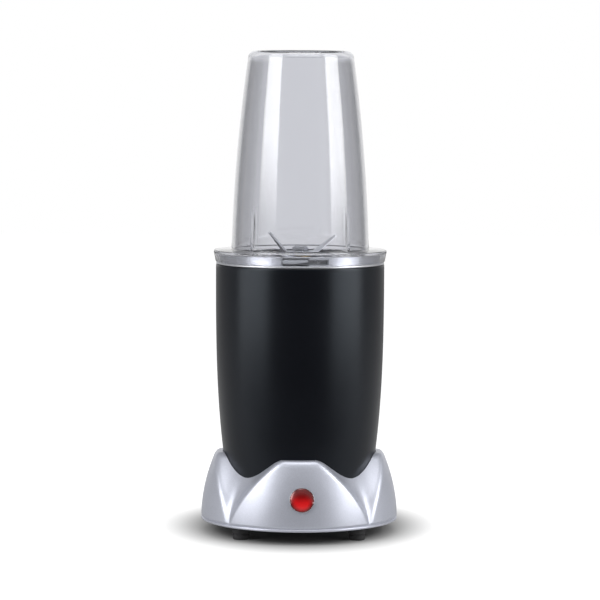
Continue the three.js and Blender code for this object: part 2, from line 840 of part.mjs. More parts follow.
add("switch_body", buildSwitchBody(), darkPlastic).rotation.z = pinAngles[0];
add("switch_button", buildSwitchButton(), redGloss).rotation.z = pinAngles[0];

// ---------------------------------------------------------------- Motor: brackets and stator

// A bracket with its windows, bearing cup and the posts that reach to the laminations.
function buildBracket(z, windowInner, postZ, postEndZ) {
  const top = z + bracketThickness;
  const plate = disc(bracketRadius, z, top, wheelSides);
  const windowOuter = bracketRadius - bracketRim;
  const windows = around(4, (a) =>
    sector(windowInner, windowOuter, a - windowHalfAngle, a + windowHalfAngle, z - past, top + past),
  );
  const cup = disc(bearingCupRadius, z, top + bearingHeight);
  const seat = disc(bearingRadius + gap, top, top + bearingHeight + past);
  const shaftHole = disc(shaftRadius + runningGap, z - past, top + past, smallSides);
  const posts = postPlaces.map(([x, y]) =>
    disc(bracketPostRadius, postZ, postEndZ, smallSides).translate(x, y, 0),
  );
  const boltHoles = boltPlaces.map(([x, y]) =>
    disc(boltRadius + gap, Math.min(z, postZ) - past, Math.max(top, postEndZ) + past, smallSides)
      .translate(x, y, 0),
  );
  return cut(join(cut(plate, ...windows), cup, ...posts), seat, shaftHole, ...boltHoles);
}

function buildLowerBracket() {
  const windowInner = bearingCupRadius + windowMargin;
  return buildBracket(lowerBracketZ, windowInner, lowerBracketTopZ - past, stackZ - gap);
}

function buildUpperBracket() {
  const windowInner = holderWebEnd + windowMargin;
  return buildBracket(upperBracketZ, windowInner, stackTopZ + gap, upperBracketZ + past);
}

function bearing(z) {
  return revolve([
    [shaftRadius + bearingBore, z],
    [bearingRadius - bearingStep, z],
    [bearingRadius, z + bearingStep],
    [bearingRadius, z + bearingHeight - gap],
    [shaftRadius + bearingBore, z + bearingHeight - gap],
  ], mediumSides);
}

function roundedRectangle(length, depth, corner) {
  const x = length / 2;
  const y = depth / 2;
  const shape = new THREE.Shape();
  shape.moveTo(-x + corner, -y);
  shape.lineTo(x - corner, -y);
  shape.absarc(x - corner, -y + corner, corner, -quarterTurn, 0, false);
  shape.lineTo(x, y - corner);
  shape.absarc(x - corner, y - corner, corner, 0, quarterTurn, false);
  shape.lineTo(-x + corner, y);
  shape.absarc(-x + corner, y - corner, corner, quarterTurn, 2 * quarterTurn, false);
  shape.lineTo(-x, -y + corner);
  shape.absarc(-x + corner, -y + corner, corner, 2 * quarterTurn, 3 * quarterTurn, false);
  return shape;
}

function buildStator() {
  const outside = prism(roundedRectangle(statorLength, statorDepth, statorCorner), stackZ, stackTopZ, 3);
  const inner = roundedRectangle(
    statorLength - 2 * statorWall,
    statorDepth - 2 * statorWall,
    statorCorner - statorWall,
  );
  const frame = cut(outside, prism(inner, stackZ - past, stackTopZ + past, 3));
  const poles = [0, 2 * quarterTurn].map((a) => {
    const from = a - poleShoeHalfAngle;
    const to = a + poleShoeHalfAngle;
    const shoe = sector(boreRadius, shoeRadius, from, to, stackZ, stackTopZ, 8);
    const neckStart = shoeRadius - poleNeckBite;
    const neckLength = yokeInside + past - neckStart;
    const neck = block(neckLength, poleNeckWidth, stackHeight, neckStart + neckLength / 2, 0, stackZ);
    return join(shoe, neck.rotateZ(a));
  });
  const holes = postPlaces.map(([x, y]) =>
    disc(boltRadius + gap, stackZ - past, stackTopZ + past, smallSides).translate(x, y, 0),
  );
  return cut(join(frame, ...poles), ...holes);
}

// One field coil, wound round the neck of a pole: a racetrack block with the neck's opening.
function buildFieldCoil() {
  const width = poleNeckWidth + 2 * gap;
  const height = stackHeight + 2 * gap;
  const x = shoeRadius + gap + coilSpan / 2;
  const z = stackZ - gap;
  const outerWidth = width + 2 * coilThickness;
  const outerHeight = height + 2 * coilThickness;
  const outer = block(coilSpan, outerWidth, outerHeight, x, 0, z - coilThickness);
  return cut(outer, block(coilSpan + 2 * past, width, height, x, 0, z));
}

add("lower_bracket", buildLowerBracket(), lamination);
add("upper_bracket", buildUpperBracket(), lamination);
add("lower_bearing", bearing(lowerBracketTopZ + gap), steel);
add("upper_bearing", bearing(upperBracketTopZ + gap), steel);
add("stator_core", buildStator(), lamination);
add("field_coil_right", buildFieldCoil(), copper);
add("field_coil_left", buildFieldCoil(), copper).rotation.z = Math.PI;

function buildMotorBolt() {
  const headZ = lowerBracketZ - gap - boltHeadHeight;
  return revolve([
    [0, headZ],
    [boltHeadRadius, headZ],
    [boltHeadRadius, headZ + boltHeadHeight],
    [boltRadius, headZ + boltHeadHeight],
    [boltRadius, boltTopZ],
    [0, boltTopZ],
  ], smallSides);
}

boltPlaces.forEach(([x, y], i) => {
  add(`motor_bolt_${i + 1}`, buildMotorBolt(), steel).position.set(x, y, 0);
});
postPlaces.forEach(([x, y], i) => {
  const damper = tube(boltHeadRadius + gap, damperRadius, postTopZ + gap, lowerBracketZ - gap, smallSides);
  add(`motor_damper_${i + 1}`, damper, greyRubber).position.set(x, y, 0);
});

// ---------------------------------------------------------------- Brush gear

function buildBrushHolder() {
  const inside = brushSize + 2 * gap;
  const outside = inside + 2 * holderBoxWall;
  const length = holderBoxEnd - holderBoxStart;
  const boxZ = brushZ - outside / 2;
  const box = block(outside, length, outside, 0, holderBoxStart + length / 2, boxZ);
  const channelLength = length - holderBoxWall + past;
  const channelY = holderBoxStart - past + channelLength / 2;
  const channel = block(inside, channelLength, inside, 0, channelY, brushZ - inside / 2);
  const webZ = boxZ + outside - past;
  const webY = (holderWebStart + holderWebEnd) / 2;
  const web = block(outside, holderWebDepth, upperBracketZ - gap - webZ, 0, webY, webZ);
  return cut(join(box, web), channel);
}

function buildBrush() {
  const curve = disc(brushFace, brushZ - brushSize, brushZ + brushSize, wheelSides);
  const length = brushLength + past;
  const bar = block(brushSize, length, brushSize, 0, brushEnd - length / 2, brushZ - brushSize / 2);
  return cut(bar, curve);
}

function buildBrushSpring() {
  return coil(brushSize / 2 - springWire, springWire, brushSpringLength - gap, springTurns)
    .rotateX(-quarterTurn)
    .translate(0, brushEnd + gap + springWire / 2, brushZ);
}

["rear", "front"].forEach((side, i) => {
  const turn = i * Math.PI;
  add(`brush_holder_${side}`, buildBrushHolder(), darkPlastic).rotation.z = turn;
  add(`carbon_brush_${side}`, buildBrush(), carbon).rotation.z = turn;
  add(`brush_spring_${side}`, buildBrushSpring(), steel).rotation.z = turn;
});

// ---------------------------------------------------------------- Rotor

function buildArmature() {
  const core = tube(shaftRadius + gap, armatureRadius, stackZ, stackTopZ, wheelSides);
  const depth = 2 * armatureSlotDepth;
  const slots = around(armatureSlots, (a) =>
    block(depth, armatureSlotWidth, stackHeight + 2 * past, armatureRadius, 0, stackZ - past).rotateZ(a),
  );
  return cut(core, ...slots);
}

function buildWinding(z0, z1, flatAtTop) {
  const low = flatAtTop ? windingRadius - windingBevel : windingRadius;
  const high = flatAtTop ? windingRadius : windingRadius - windingBevel;
  const inner = shaftRadius + gap;
  const middle = (z0 + z1) / 2;
  return revolve([[inner, z0], [low, z0], [windingRadius, middle], [high, z1], [inner, z1]], mediumSides);
}

function buildCommutator() {
  const top = commutatorZ + commutatorHeight;
  const body = tube(shaftRadius + gap, commutatorRadius, commutatorZ, top, wheelSides);
  const height = commutatorHeight + 2 * past;
  const kerfs = around(commutatorBars, (a) =>
    block(2 * kerfDepth, kerfWidth, height, commutatorRadius, 0, commutatorZ - past).rotateZ(a),
  );
  return cut(body, ...kerfs);
}

function buildFan() {
  const z = lowerBracketTopZ + fanRise;
  const top = z + fanHeight;
  const discZ = top - fanDisc;
  const hub = tube(shaftRadius + gap, fanHubRadius, z, top);
  const plate = tube(fanHubRadius - past, fanRadius, discZ, top, wheelSides);
  const blades = around(fanBlades, (a) => {
    const length = fanRadius - fanHubRadius;
    const blade = block(length, fanBladeThickness, fanHeight - fanDisc / 2, 0, 0, z);
    return blade.rotateZ(fanBladeAngle).translate(fanHubRadius + length / 2, 0, 0).rotateZ(a);
  });
  return overlapOf(join(hub, plate, ...blades), disc(fanRadius, z, top, wheelSides));
}

// A wheel outline whose teeth take a share of each pitch, grown by a clearance.
function toothed(root, tip, share, clearance) {
  const pitch = (2 * Math.PI) / couplingTeeth;
  const points = [];
  for (let i = 0; i < couplingTeeth; i += 1) {
    const middle = i * pitch;
    const atTip = (share * pitch) / 2 + clearance / tip;
    const atRoot = (share * pitch) / 2 + clearance / root + toothLean;
    points.push(
      polar(root + clearance, middle - atRoot),
      polar(tip + clearance, middle - atTip),
      polar(tip + clearance, middle + atTip),
      polar(root + clearance, middle + atRoot),
    );
  }
  return polygon(points);
}

function buildDriveCoupling() {
  const wheel = prism(toothed(couplingRoot, couplingTip, toothShare, 0), couplingZ, couplingTopZ);
  return cut(wheel, disc(shaftRadius + gap, couplingZ - past, couplingTopZ + past));
}

function buildShaft() {
  return disc(shaftRadius, lowerBracketZ + runningGap, couplingTopZ - runningGap);
}

add("motor_shaft", buildShaft(), steel);
add("armature_core", buildArmature(), lamination);
add("winding_lower", buildWinding(stackZ - gap - windingHeight, stackZ - gap, true), copper);
add("winding_upper", buildWinding(stackTopZ + gap, stackTopZ + gap + windingHeight, false), copper);
add("commutator", buildCommutator(), copper);
add("cooling_fan", buildFan(), darkPlastic);
add("drive_coupling", buildDriveCoupling(), steel);

// ---------------------------------------------------------------- Blade unit

function buildBladeHolder() {
  return revolve([
    [sleeveRadius + gap, holderBottomZ],
    [holderRadius, holderBottomZ],
    [holderRadius, holderTopZ],
    [holderInnerRadius, holderTopZ],
    [holderInnerRadius, holderFloorTopZ],
    [bossBaseRadius, holderFloorTopZ],
    [bossTopRadius, bossTopZ],
    [sleeveRadius + gap, bossTopZ],
  ]);
}

function buildSleeve() {
  return revolve([
    [spindleRadius + gap, holderBottomZ + gap],
    [sleeveRadius, holderBottomZ + gap],
    [sleeveRadius, bossTopZ + gap],
    [sleeveFlangeRadius, bossTopZ + gap],
    [sleeveFlangeRadius, bossTopZ + gap + sleeveFlange],
    [spindleRadius + gap, bossTopZ + gap + sleeveFlange],
  ], mediumSides);
}

// A blade bent up or down at both ends: its side view drawn out across its width, then trimmed
// to a plan that narrows towards the tips.
function buildBlade(z, arm, bendRight, bendLeft) {
  const t = bladeThickness;
  const end = (bend, side) => {
    const dx = Math.cos(bend);
    const dz = Math.sin(bend);
    const lower = [side * (bladeReach + arm * dx), arm * dz];
    const upper = [lower[0] - side * t * dz, lower[1] + t * dx];
    return { lower, upper, inner: [side * (bladeReach - t * Math.tan(bend / 2)), t] };
  };
  const right = end(bendRight, 1);
  const left = end(bendLeft, -1);
  const side = polygon([
    [-bladeReach, 0],
    [bladeReach, 0],
    right.lower,
    right.upper,
    right.inner,
    left.inner,
    left.upper,
    left.lower,
  ]);
  const strip = prism(side, -bladeWidth / 2, bladeWidth / 2).rotateX(quarterTurn);
  const reachX = bladeReach + arm;
  const plan = prism(polygon([
    [-reachX, -bladeTip],
    [-bladeReach, -bladeWidth / 2],
    [bladeReach, -bladeWidth / 2],
    [reachX, bladeTip / 2],
    [reachX, bladeTip],
    [bladeReach, bladeWidth / 2],
    [-bladeReach, bladeWidth / 2],
    [-reachX, -bladeTip / 2],
  ]), -arm, arm + t);
  const shape = overlapOf(strip, plan);
  const hole = disc(spindleRadius + gap, -past, t + past);
  return cut(shape, hole).translate(0, 0, z);
}

function buildBladeNut() {
  const hexagon = polygon(around(6, (a) => polar(bladeNutRadius, a)));
  const nut = prism(hexagon, bladeNutZ, bladeNutZ + bladeNutHeight);
  const boreTopZ = bladeNutZ + bladeNutHeight - bladeNutCap;
  return cut(nut, disc(spindleRadius + gap, bladeNutZ - past, boreTopZ));
}

function buildDrivenCoupling() {
  const outside = couplingTip + runningGap + couplingWall;
  const bodyZ = couplingZ + drivenLip;
  const body = disc(outside, bodyZ, drivenTopZ, wheelSides);
  const socket = prism(
    toothed(couplingRoot, couplingTip, toothShare, runningGap),
    bodyZ - past,
    drivenRoofZ,
  );
  return cut(body, socket, disc(spindleRadius + gap, drivenRoofZ - past, drivenTopZ + past));
}

function buildSpindle() {
  return disc(spindleRadius, drivenRoofZ + gap, bladeNutZ + bladeNutHeight - bladeNutCap - gap);
}

function buildGasket() {
  return tube(neckRadius - neckWall, neckRadius, gasketZ, gasketZ + gasketThickness, wheelSides);
}

add("blade_holder", buildBladeHolder(), greyPlastic);
add("gasket_ring", buildGasket(), greyRubber);
add("sleeve_bearing", buildSleeve(), brass);
add("blade_spindle", buildSpindle(), steel);
add("lower_blade", buildBlade(lowerBladeZ, lowerArm, lowerBend, lowerBend), steel)
  .rotation.z = lowerBladeAngle;
add("upper_blade", buildBlade(upperBladeZ, upperArm, shallowBend, steepBend), steel)
  .rotation.z = upperBladeAngle;
add("blade_nut", buildBladeNut(), steel);
add("driven_coupling", buildDrivenCoupling(), darkPlastic);

// ---------------------------------------------------------------- Cup

function cupRadiusAt(z) {
  const t = (z - flangeTopZ) / cupHeight;
  return cupRadius - cupTaper * t - cupBarrelling * t * t;
}

// [radius, z] points of the cup's wall from z0 up to its rounded end.
function cupOutline(z0, topZ, offset, fillet, steps, filletSteps) {
  const filletZ = topZ - fillet;
  const points = [];
  for (let i = 0; i <= steps; i += 1) {
    const z = z0 + ((filletZ - z0) * i) / steps;
    points.push([cupRadiusAt(z) - offset, z]);
  }
  const corner = cupRadiusAt(filletZ) - offset - fillet;
  for (let i = 1; i <= filletSteps; i += 1) {
    const a = (quarterTurn * i) / filletSteps;
    points.push([corner + fillet * Math.cos(a), filletZ + fillet * Math.sin(a)]);
  }
  return points;
}

function buildTab() {
  const innerReach = wellOuterRadius + 2 * gap;
  const outerReach = collarInnerAt(tabZ) + tabBite;
  const front = -quarterTurn;
  const body = sector(innerReach, outerReach, front - tabHalfAngle, front + tabHalfAngle, tabZ, tabTopZ);
  const slope = Math.atan(pinTravel / (pinCircle * twistAngle));
  const ramp = new THREE.BoxGeometry(flangeRadius, flangeRadius, flangeRadius)
    .translate(flangeRadius / 2, 0, -flangeRadius / 2)
    .rotateY(-slope)
    .translate(0, -pinCircle, tabZ);
  return cut(body, ramp);
}

const collarBottomZ = ringBottomZ + ringLipHeight + collarClearance;

function collarInnerAt(z) {
  const t = (flangeZ - z) / (flangeZ - collarBottomZ);
  return flangeRadius - collarWall - collarTaper * t;
}

function buildCup() {
  const neckInner = neckRadius - neckWall;
  const outside = [
    [neckInner, neckBottomZ],
    [neckRadius, neckBottomZ],
    [neckRadius, flangeZ],
    [collarInnerAt(flangeZ), flangeZ],
    [collarInnerAt(collarBottomZ), collarBottomZ],
    [collarInnerAt(collarBottomZ) + collarWall, collarBottomZ],
    [flangeRadius, flangeZ],
    [flangeRadius, flangeTopZ - flangeEdge],
    [flangeRadius - flangeEdge, flangeTopZ],
    ...cupOutline(flangeTopZ, cupTopZ, 0, cupEndFillet, 6, 3),
    [0, cupTopZ],
  ];
  const innerTop = cupTopZ - cupEndThickness;
  const inside = [
    [0, innerTop],
    ...cupOutline(flangeTopZ, innerTop, cupWall, cupInnerFillet, 4, 2).reverse(),
    [neckInner, flangeZ - neckShoulder],
  ];
  const shell = revolveCup([...outside, ...inside]);
  const tabs = around(tabCount, (a) => buildTab().rotateZ(a + notchAngle));
  const ribs = around(ribCount, (a) => {
    const inner = cupRadiusAt(flangeTopZ + ribHeight) - cupWall - ribDepth;
    const outer = cupRadiusAt(flangeTopZ + ribHeight) - cupWall / 2;
    return block(outer - inner, ribWidth, ribHeight, (outer + inner) / 2, 0, flangeTopZ).rotateZ(a);
  }, quarterTurn / 2);
  return join(shell, ...tabs, ...ribs);
}

function revolveCup(profile) {
  const top = profile.findIndex(([r]) => r === 0);
  const outer = profile.slice(0, top + 1);
  const inner = profile.slice(top + 1);
  return revolve([...inner, ...outer]);
}

add("cup", buildCup(), clearPlastic);

export default blender;
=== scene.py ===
# A personal countertop blender: clear inverted cup, blade unit, bayonet ring and motor base.
# The scene is in metres. The sizes below are millimetres, or come from the frame, and go through MM.

from math import asin, atan, cos, hypot, pi, radians, sin, tan

import bpy
import numpy as np
from mathutils import Matrix, Vector


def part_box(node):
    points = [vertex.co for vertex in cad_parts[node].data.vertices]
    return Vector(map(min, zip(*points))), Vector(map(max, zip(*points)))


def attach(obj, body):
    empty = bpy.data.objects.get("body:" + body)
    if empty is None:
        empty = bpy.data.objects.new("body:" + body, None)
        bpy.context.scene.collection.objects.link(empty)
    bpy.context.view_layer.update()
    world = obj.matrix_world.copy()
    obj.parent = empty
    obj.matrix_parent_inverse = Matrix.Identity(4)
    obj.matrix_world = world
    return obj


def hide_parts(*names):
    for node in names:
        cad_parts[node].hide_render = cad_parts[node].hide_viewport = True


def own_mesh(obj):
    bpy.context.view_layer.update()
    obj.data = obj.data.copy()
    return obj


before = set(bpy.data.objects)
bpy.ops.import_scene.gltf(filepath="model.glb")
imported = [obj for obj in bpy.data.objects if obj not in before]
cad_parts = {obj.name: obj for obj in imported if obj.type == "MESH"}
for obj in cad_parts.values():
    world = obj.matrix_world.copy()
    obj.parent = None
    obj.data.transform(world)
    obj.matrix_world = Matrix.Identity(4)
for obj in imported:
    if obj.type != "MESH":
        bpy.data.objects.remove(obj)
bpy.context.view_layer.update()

MM = 0.001
FULL_TURN = 2 * pi
QUARTER = pi / 2

# ---------- Sizes


def low(node):
    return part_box(node)[0] / MM


def high(node):
    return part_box(node)[1] / MM


def middle(node):
    return (low(node) + high(node)) / 2


def span(node):
    """A node's lowest and highest z."""
    return low(node).z, high(node).z


def spot(node):
    """Where a node's middle stands, seen from above."""
    return middle(node).x, middle(node).y


GAP = 0.3

RIM_Z, SKIRT_TOP_Z = span("base_skirt")
SKIRT_HEIGHT = SKIRT_TOP_Z - RIM_Z
RIM_RADIUS = high("base_skirt").x
SKIRT_LEAN = 10.6
SKIRT_WALL = 2.6
# A flaring cone that opens upwards and leans outwards cuts each valley between two panels.
VALLEY_Z = RIM_Z + 4.15
VALLEY_SPREAD = 0.453
VALLEY_FLARE = 0.0127
VALLEY_TILT = radians(8.0)
# How far from an edge its two faces start to round into each other.
TOP_EDGE = 2.4
CREASE = 3.6
INNER_CREASE = 5.2

BARREL_BOTTOM_Z, BARREL_TOP_Z = span("barrel_housing")
BARREL_RADIUS = high("barrel_housing").x
BARREL_TAPER = 7.5
BARREL_WALL = 2.6
# From the barrel's top edge down to its straight foot inside the crown.
SPIGOT_DEPTH = 149

RING_Z = BARREL_TOP_Z + GAP
RING_TOP_Z = high("bayonet_ring").z
RING_LIP_RADIUS = high("bayonet_ring").x
RING_RADIUS = BARREL_RADIUS - 3.0
RING_WALL = 2.1
RING_INNER = RING_RADIUS - RING_WALL
RING_LIP = 1.4
RING_LEDGE = 2.0
GROOVE_Z = BARREL_TOP_Z + 3.2
GROOVE_HEIGHT = 3.2
NOTCH_CHAMFER = 0.6
TWIST = radians(14)
TABS = 3
TAB_HALF = radians(8.6)
TAB_CLEARANCE = radians(0.75)
TAB_THICKNESS = 2.3
PIN_TRAVEL = 2.0
PIN_HOLE = 2.1
FIRST_NOTCH = radians(-3.3) - QUARTER
PIN_AHEAD = radians(16)

NECK_BOTTOM_Z, CUP_TOP_Z = span("cup")
FLANGE_RADIUS = high("cup").x
FLANGE_Z = RING_TOP_Z + GAP
FLANGE_TOP_Z = FLANGE_Z + 1.9
CUP_HEIGHT = CUP_TOP_Z - FLANGE_TOP_Z
CUP_RADIUS = 49.2
CUP_TAPER = 3.97
CUP_BARRELLING = 8.17
CUP_WALL = 2.4
CUP_END = 2.6
CUP_FILLET = 5.0
NECK_RADIUS = 46.2
NECK_WALL = 2.2
RIB_HEIGHT = 30.5
RIB_FADE = 0.25
RIB_PROUD = 1.15
RIB_HALF = 1.8
RIB_SUNK = 0.2
COLLAR_WALL = 1.6
COLLAR_TAPER = 1.3
COLLAR_Z = RING_Z + RING_LIP + 0.4

HOLDER_RADIUS = high("blade_holder").x
HOLDER_WALL = 2.1
HOLDER_FLOOR = 2.2
HOLDER_Z, HOLDER_TOP_Z = span("blade_holder")
SLEEVE_COLLAR = 1.2
BOSS_TOP_Z = high("sleeve_bearing").z - SLEEVE_COLLAR - GAP

WELL_RADIUS = HOLDER_RADIUS + 0.5
WELL_WALL = 1.2


def skirt_radius(z):
    return RIM_RADIUS - SKIRT_LEAN * ((z - RIM_Z) / SKIRT_HEIGHT) ** 2


def barrel_radius(z):
    depth = np.minimum(BARREL_TOP_Z - z, SPIGOT_DEPTH)
    return BARREL_RADIUS - BARREL_TAPER * (depth / SPIGOT_DEPTH) ** 3


def cup_radius(z):
    t = (z - FLANGE_TOP_Z) / CUP_HEIGHT
    return CUP_RADIUS - CUP_TAPER * t - CUP_BARRELLING * t * t


def polar(radius, angle):
    return radius * cos(angle), radius * sin(angle)


def spread(first, last, count):
    return [first + (last - first) * i / (count - 1) for i in range(count)]


def around(count, first=0.0):
    """Equal angles all the way round."""
    return [first + FULL_TURN * i / count for i in range(count)]


# ---------- Modelling helpers


def deselect():
    if bpy.context.object and bpy.context.object.mode != "OBJECT":
        bpy.ops.object.mode_set(mode="OBJECT")
    bpy.ops.object.select_all(action="DESELECT")


def activate(obj):
    deselect()
    obj.select_set(True)
    bpy.context.view_layer.objects.active = obj


def add_object(name, data):
    obj = bpy.data.objects.new(name, data)
    bpy.context.collection.objects.link(obj)
    return obj


def piece_from(points, edges=(), faces=()):
    mesh = bpy.data.meshes.new("piece")
    mesh.from_pydata([tuple(c * MM for c in p) for p in points], list(edges), list(faces))
    mesh.update()
    return add_object("piece", mesh)


def smooth(obj, angle=35):
    activate(obj)
    bpy.ops.object.shade_smooth_by_angle(angle=radians(angle))


def edit_all(obj):
    """Edit mode with everything selected."""
    activate(obj)
    bpy.ops.object.mode_set(mode="EDIT")
    bpy.ops.mesh.select_all(action="SELECT")


def mend_normals(obj):
    edit_all(obj)
    bpy.ops.mesh.remove_doubles(threshold=1e-6)
    bpy.ops.mesh.normals_make_consistent(inside=False)
    bpy.ops.object.mode_set(mode="OBJECT")


def apply_modifier(obj, kind, **settings):
    activate(obj)
    modifier = obj.modifiers.new(kind.lower(), kind)
    for key, value in settings.items():
        setattr(modifier, key, value)
    bpy.ops.object.modifier_apply(modifier=modifier.name)


def combine(obj, other, operation):
    """Cuts other out of obj, or joins it on, and removes other."""
    apply_modifier(obj, "BOOLEAN", object=other, operation=operation, solver="EXACT")
    bpy.data.objects.remove(other)


def merge(objects):
    """Several objects as one, without any boolean."""
    deselect()
    for obj in objects:
        obj.select_set(True)
    bpy.context.view_layer.objects.active = objects[0]
    bpy.ops.object.join()
    return objects[0]


def place(obj, matrix):
    """Puts the object's place in its mesh."""
    obj.data.transform(matrix)
    obj.data.update()
    return obj


def copy_of(obj):
    return add_object("piece", obj.data.copy())


def shift(x=0.0, y=0.0, z=0.0):
    return Matrix.Translation(Vector((x, y, z)) * MM)


def turn(angle, axis="Z"):
    return Matrix.Rotation(angle, 4, axis)


def rounded(corners, steps=4):
    """An outline of (radius, height) points, where a third value rounds its corner."""
    points = []
    count = len(corners)
    for i, corner in enumerate(corners):
        here = Vector(corner[:2])
        fillet = corner[2] if len(corner) > 2 else 0
        if not fillet:
            points.append(tuple(here))
            continue
        back = (Vector(corners[i - 1][:2]) - here).normalized()
        ahead = (Vector(corners[(i + 1) % count][:2]) - here).normalized()
        half = back.angle(ahead) / 2
        centre = here + (back + ahead).normalized() * fillet / sin(half)
        start = here + back * fillet / tan(half) - centre
        end = here + ahead * fillet / tan(half) - centre
        for s in range(steps + 1):
            way = start.lerp(end, s / steps).normalized()
            points.append(tuple(centre + way * fillet))
    return points


def turned(corners, steps=160, corner_steps=4):
    """A closed solid spun about Z from its (radius, height, fillet) outline."""
    outline = rounded(corners, corner_steps)
    edges = [(i, i + 1) for i in range(len(outline) - 1)]
    if outline[0][0] > 0:
        edges.append((len(outline) - 1, 0))
    obj = piece_from([(r, 0, z) for r, z in outline], edges)
    edit_all(obj)
    bpy.ops.mesh.spin(steps=steps, angle=FULL_TURN, center=(0, 0, 0), axis=(0, 0, 1))
    bpy.ops.object.mode_set(mode="OBJECT")
    mend_normals(obj)
    smooth(obj)
    return obj


def sector(inner, outer, from_angle, to_angle, z0, z1, steps=12):
    """A piece of a flat ring between two angles."""
    outline = [polar(outer, a) for a in spread(from_angle, to_angle, steps)]
    outline += [polar(inner, a) for a in spread(to_angle, from_angle, steps)]
    return prism(outline, z0, z1)


def prism(outline, z0, z1):
    return lofted([[(x, y, z) for x, y in outline] for z in (z0, z1)])


def lofted(sections):
    """A closed solid through equal rings of points, with a flat face at each end."""
    count = len(sections[0])
    faces = []
    for i in range(len(sections) - 1):
        for j in range(count):
            k = (j + 1) % count
            faces.append((i * count + j, i * count + k, (i + 1) * count + k, (i + 1) * count + j))
    last = count * (len(sections) - 1)
    faces += [tuple(range(count))[::-1], tuple(range(last, last + count))]
    obj = piece_from([point for section in sections for point in section], faces=faces)
    mend_normals(obj)
    return obj


def cylinder(radius, x, y, z0, z1, vertices=32):
    deselect()
    bpy.ops.mesh.primitive_cylinder_add(
        vertices=vertices,
        radius=radius * MM,
        depth=(z1 - z0) * MM,
        location=(x * MM, y * MM, (z0 + z1) / 2 * MM),
    )
    bpy.ops.object.transform_apply()
    return bpy.context.object


def drill(obj, radius, x, y, z0, z1, vertices=32):
    """Cuts an upright round hole."""
    combine(obj, cylinder(radius, x, y, z0, z1, vertices), "DIFFERENCE")


# ---------- Shared surface effects


class Graph:
    """A node tree with short ways to add nodes and join them."""

    def __init__(self, tree):
        self.tree = tree

    def add(self, kind, **settings):
        node = self.tree.nodes.new("ShaderNode" + kind)
        for key, value in settings.items():
            setattr(node, key, value)
        return node

    def link(self, out, into):
        self.tree.links.new(out, into)

    def math(self, operation, a, b):
        node = self.add("Math", operation=operation)
        for socket, value in zip(node.inputs, (a, b)):
            if isinstance(value, (int, float)):
                socket.default_value = value
            else:
                self.link(value, socket)
        return node.outputs[0]

    def rescale(self, value, low_value, high_value, start=0.0, end=1.0, ease="LINEAR"):
        """Maps value from start..end to low_value..high_value, and holds it outside them."""
        node = self.add("MapRange", interpolation_type=ease)
        self.link(value, node.inputs["Value"])
        ends = {"From Min": start, "From Max": end, "To Min": low_value, "To Max": high_value}
        for label, limit in ends.items():
            node.inputs[label].default_value = limit
        return node.outputs[0]

    def object_place(self):
        return self.add("TexCoord").outputs["Object"]

    def scaled_place(self, scale, offset=(0, 0, 0)):
        """Object coordinates, scaled and then moved."""
        node = self.add("Mapping")
        node.inputs["Scale"].default_value = scale
        node.inputs["Location"].default_value = offset
        self.link(self.object_place(), node.inputs["Vector"])
        return node.outputs["Vector"]

    def noise(self, where, density, detail):
        node = self.add("TexNoise")
        self.link(where, node.inputs["Vector"])
        self.link(density, node.inputs["Scale"])
        node.inputs["Detail"].default_value = detail
        return node.outputs["Fac"]

    def along(self, axis):
        """How far along X, Y or Z a point lies."""
        split = self.add("SeparateXYZ")
        self.link(self.object_place(), split.inputs[0])
        return split.outputs[axis]


def effect_group(name, inputs, outputs):
    tree = bpy.data.node_groups.new(name, "ShaderNodeTree")
    for label, default in inputs.items():
        socket = tree.interface.new_socket(label, in_out="INPUT", socket_type="NodeSocketFloat")
        socket.default_value = default
    for label in outputs:
        tree.interface.new_socket(label, in_out="OUTPUT", socket_type="NodeSocketFloat")
    g = Graph(tree)
    ins = tree.nodes.new("NodeGroupInput").outputs
    outs = tree.nodes.new("NodeGroupOutput").inputs
    return tree, g, ins, outs


def make_grain():
    """Fine moulded or sprayed grain with broad, faint blotches. Density is bumps a metre."""
    tree, g, ins, outs = effect_group(
        "surface_grain", {"Density": 900.0, "Blotches": 25.0}, ("Grain", "Blotch")
    )
    where = g.object_place()
    g.link(g.noise(where, ins["Density"], 3), outs["Grain"])
    g.link(g.noise(where, ins["Blotches"], 2), outs["Blotch"])
    return tree


def make_lathe_lines():
    """Rings round the Z axis, as turning, stacking or winding leaves. Density is rings a metre."""
    tree, g, ins, outs = effect_group("lathe_lines", {"Density": 1500.0}, ("Lines",))
    stretched = g.scaled_place((0.02, 0.02, 1))
    g.link(g.noise(stretched, ins["Density"], 3), outs["Lines"])
    return tree


def make_bands():
    """Even bands across Z, as laminations and windings have. Pitch is bands a metre."""
    tree, g, ins, outs = effect_group("even_bands", {"Pitch": 1000.0}, ("Bands",))
    phase = g.math("MULTIPLY", g.along("Z"), ins["Pitch"])
    wave = g.math("SINE", g.math("MULTIPLY", phase, FULL_TURN), 0.0)
    g.link(g.rescale(wave, 0.0, 1.0, start=-1.0), outs["Bands"])
    return tree


def make_flakes():
    """Metal flakes in paint: a random tone for each small cell."""
    tree, g, ins, outs = effect_group("metal_flakes", {"Density": 2600.0}, ("Flake",))
    cells = g.add("TexVoronoi")
    g.link(g.object_place(), cells.inputs["Vector"])
    g.link(ins["Density"], cells.inputs["Scale"])
    tone = g.add("SeparateColor")
    g.link(cells.outputs["Color"], tone.inputs[0])
    g.link(tone.outputs[0], outs["Flake"])
    return tree


GRAIN = make_grain()
LINES = make_lathe_lines()
BANDS = make_bands()
FLAKES = make_flakes()

# ---------- Materials


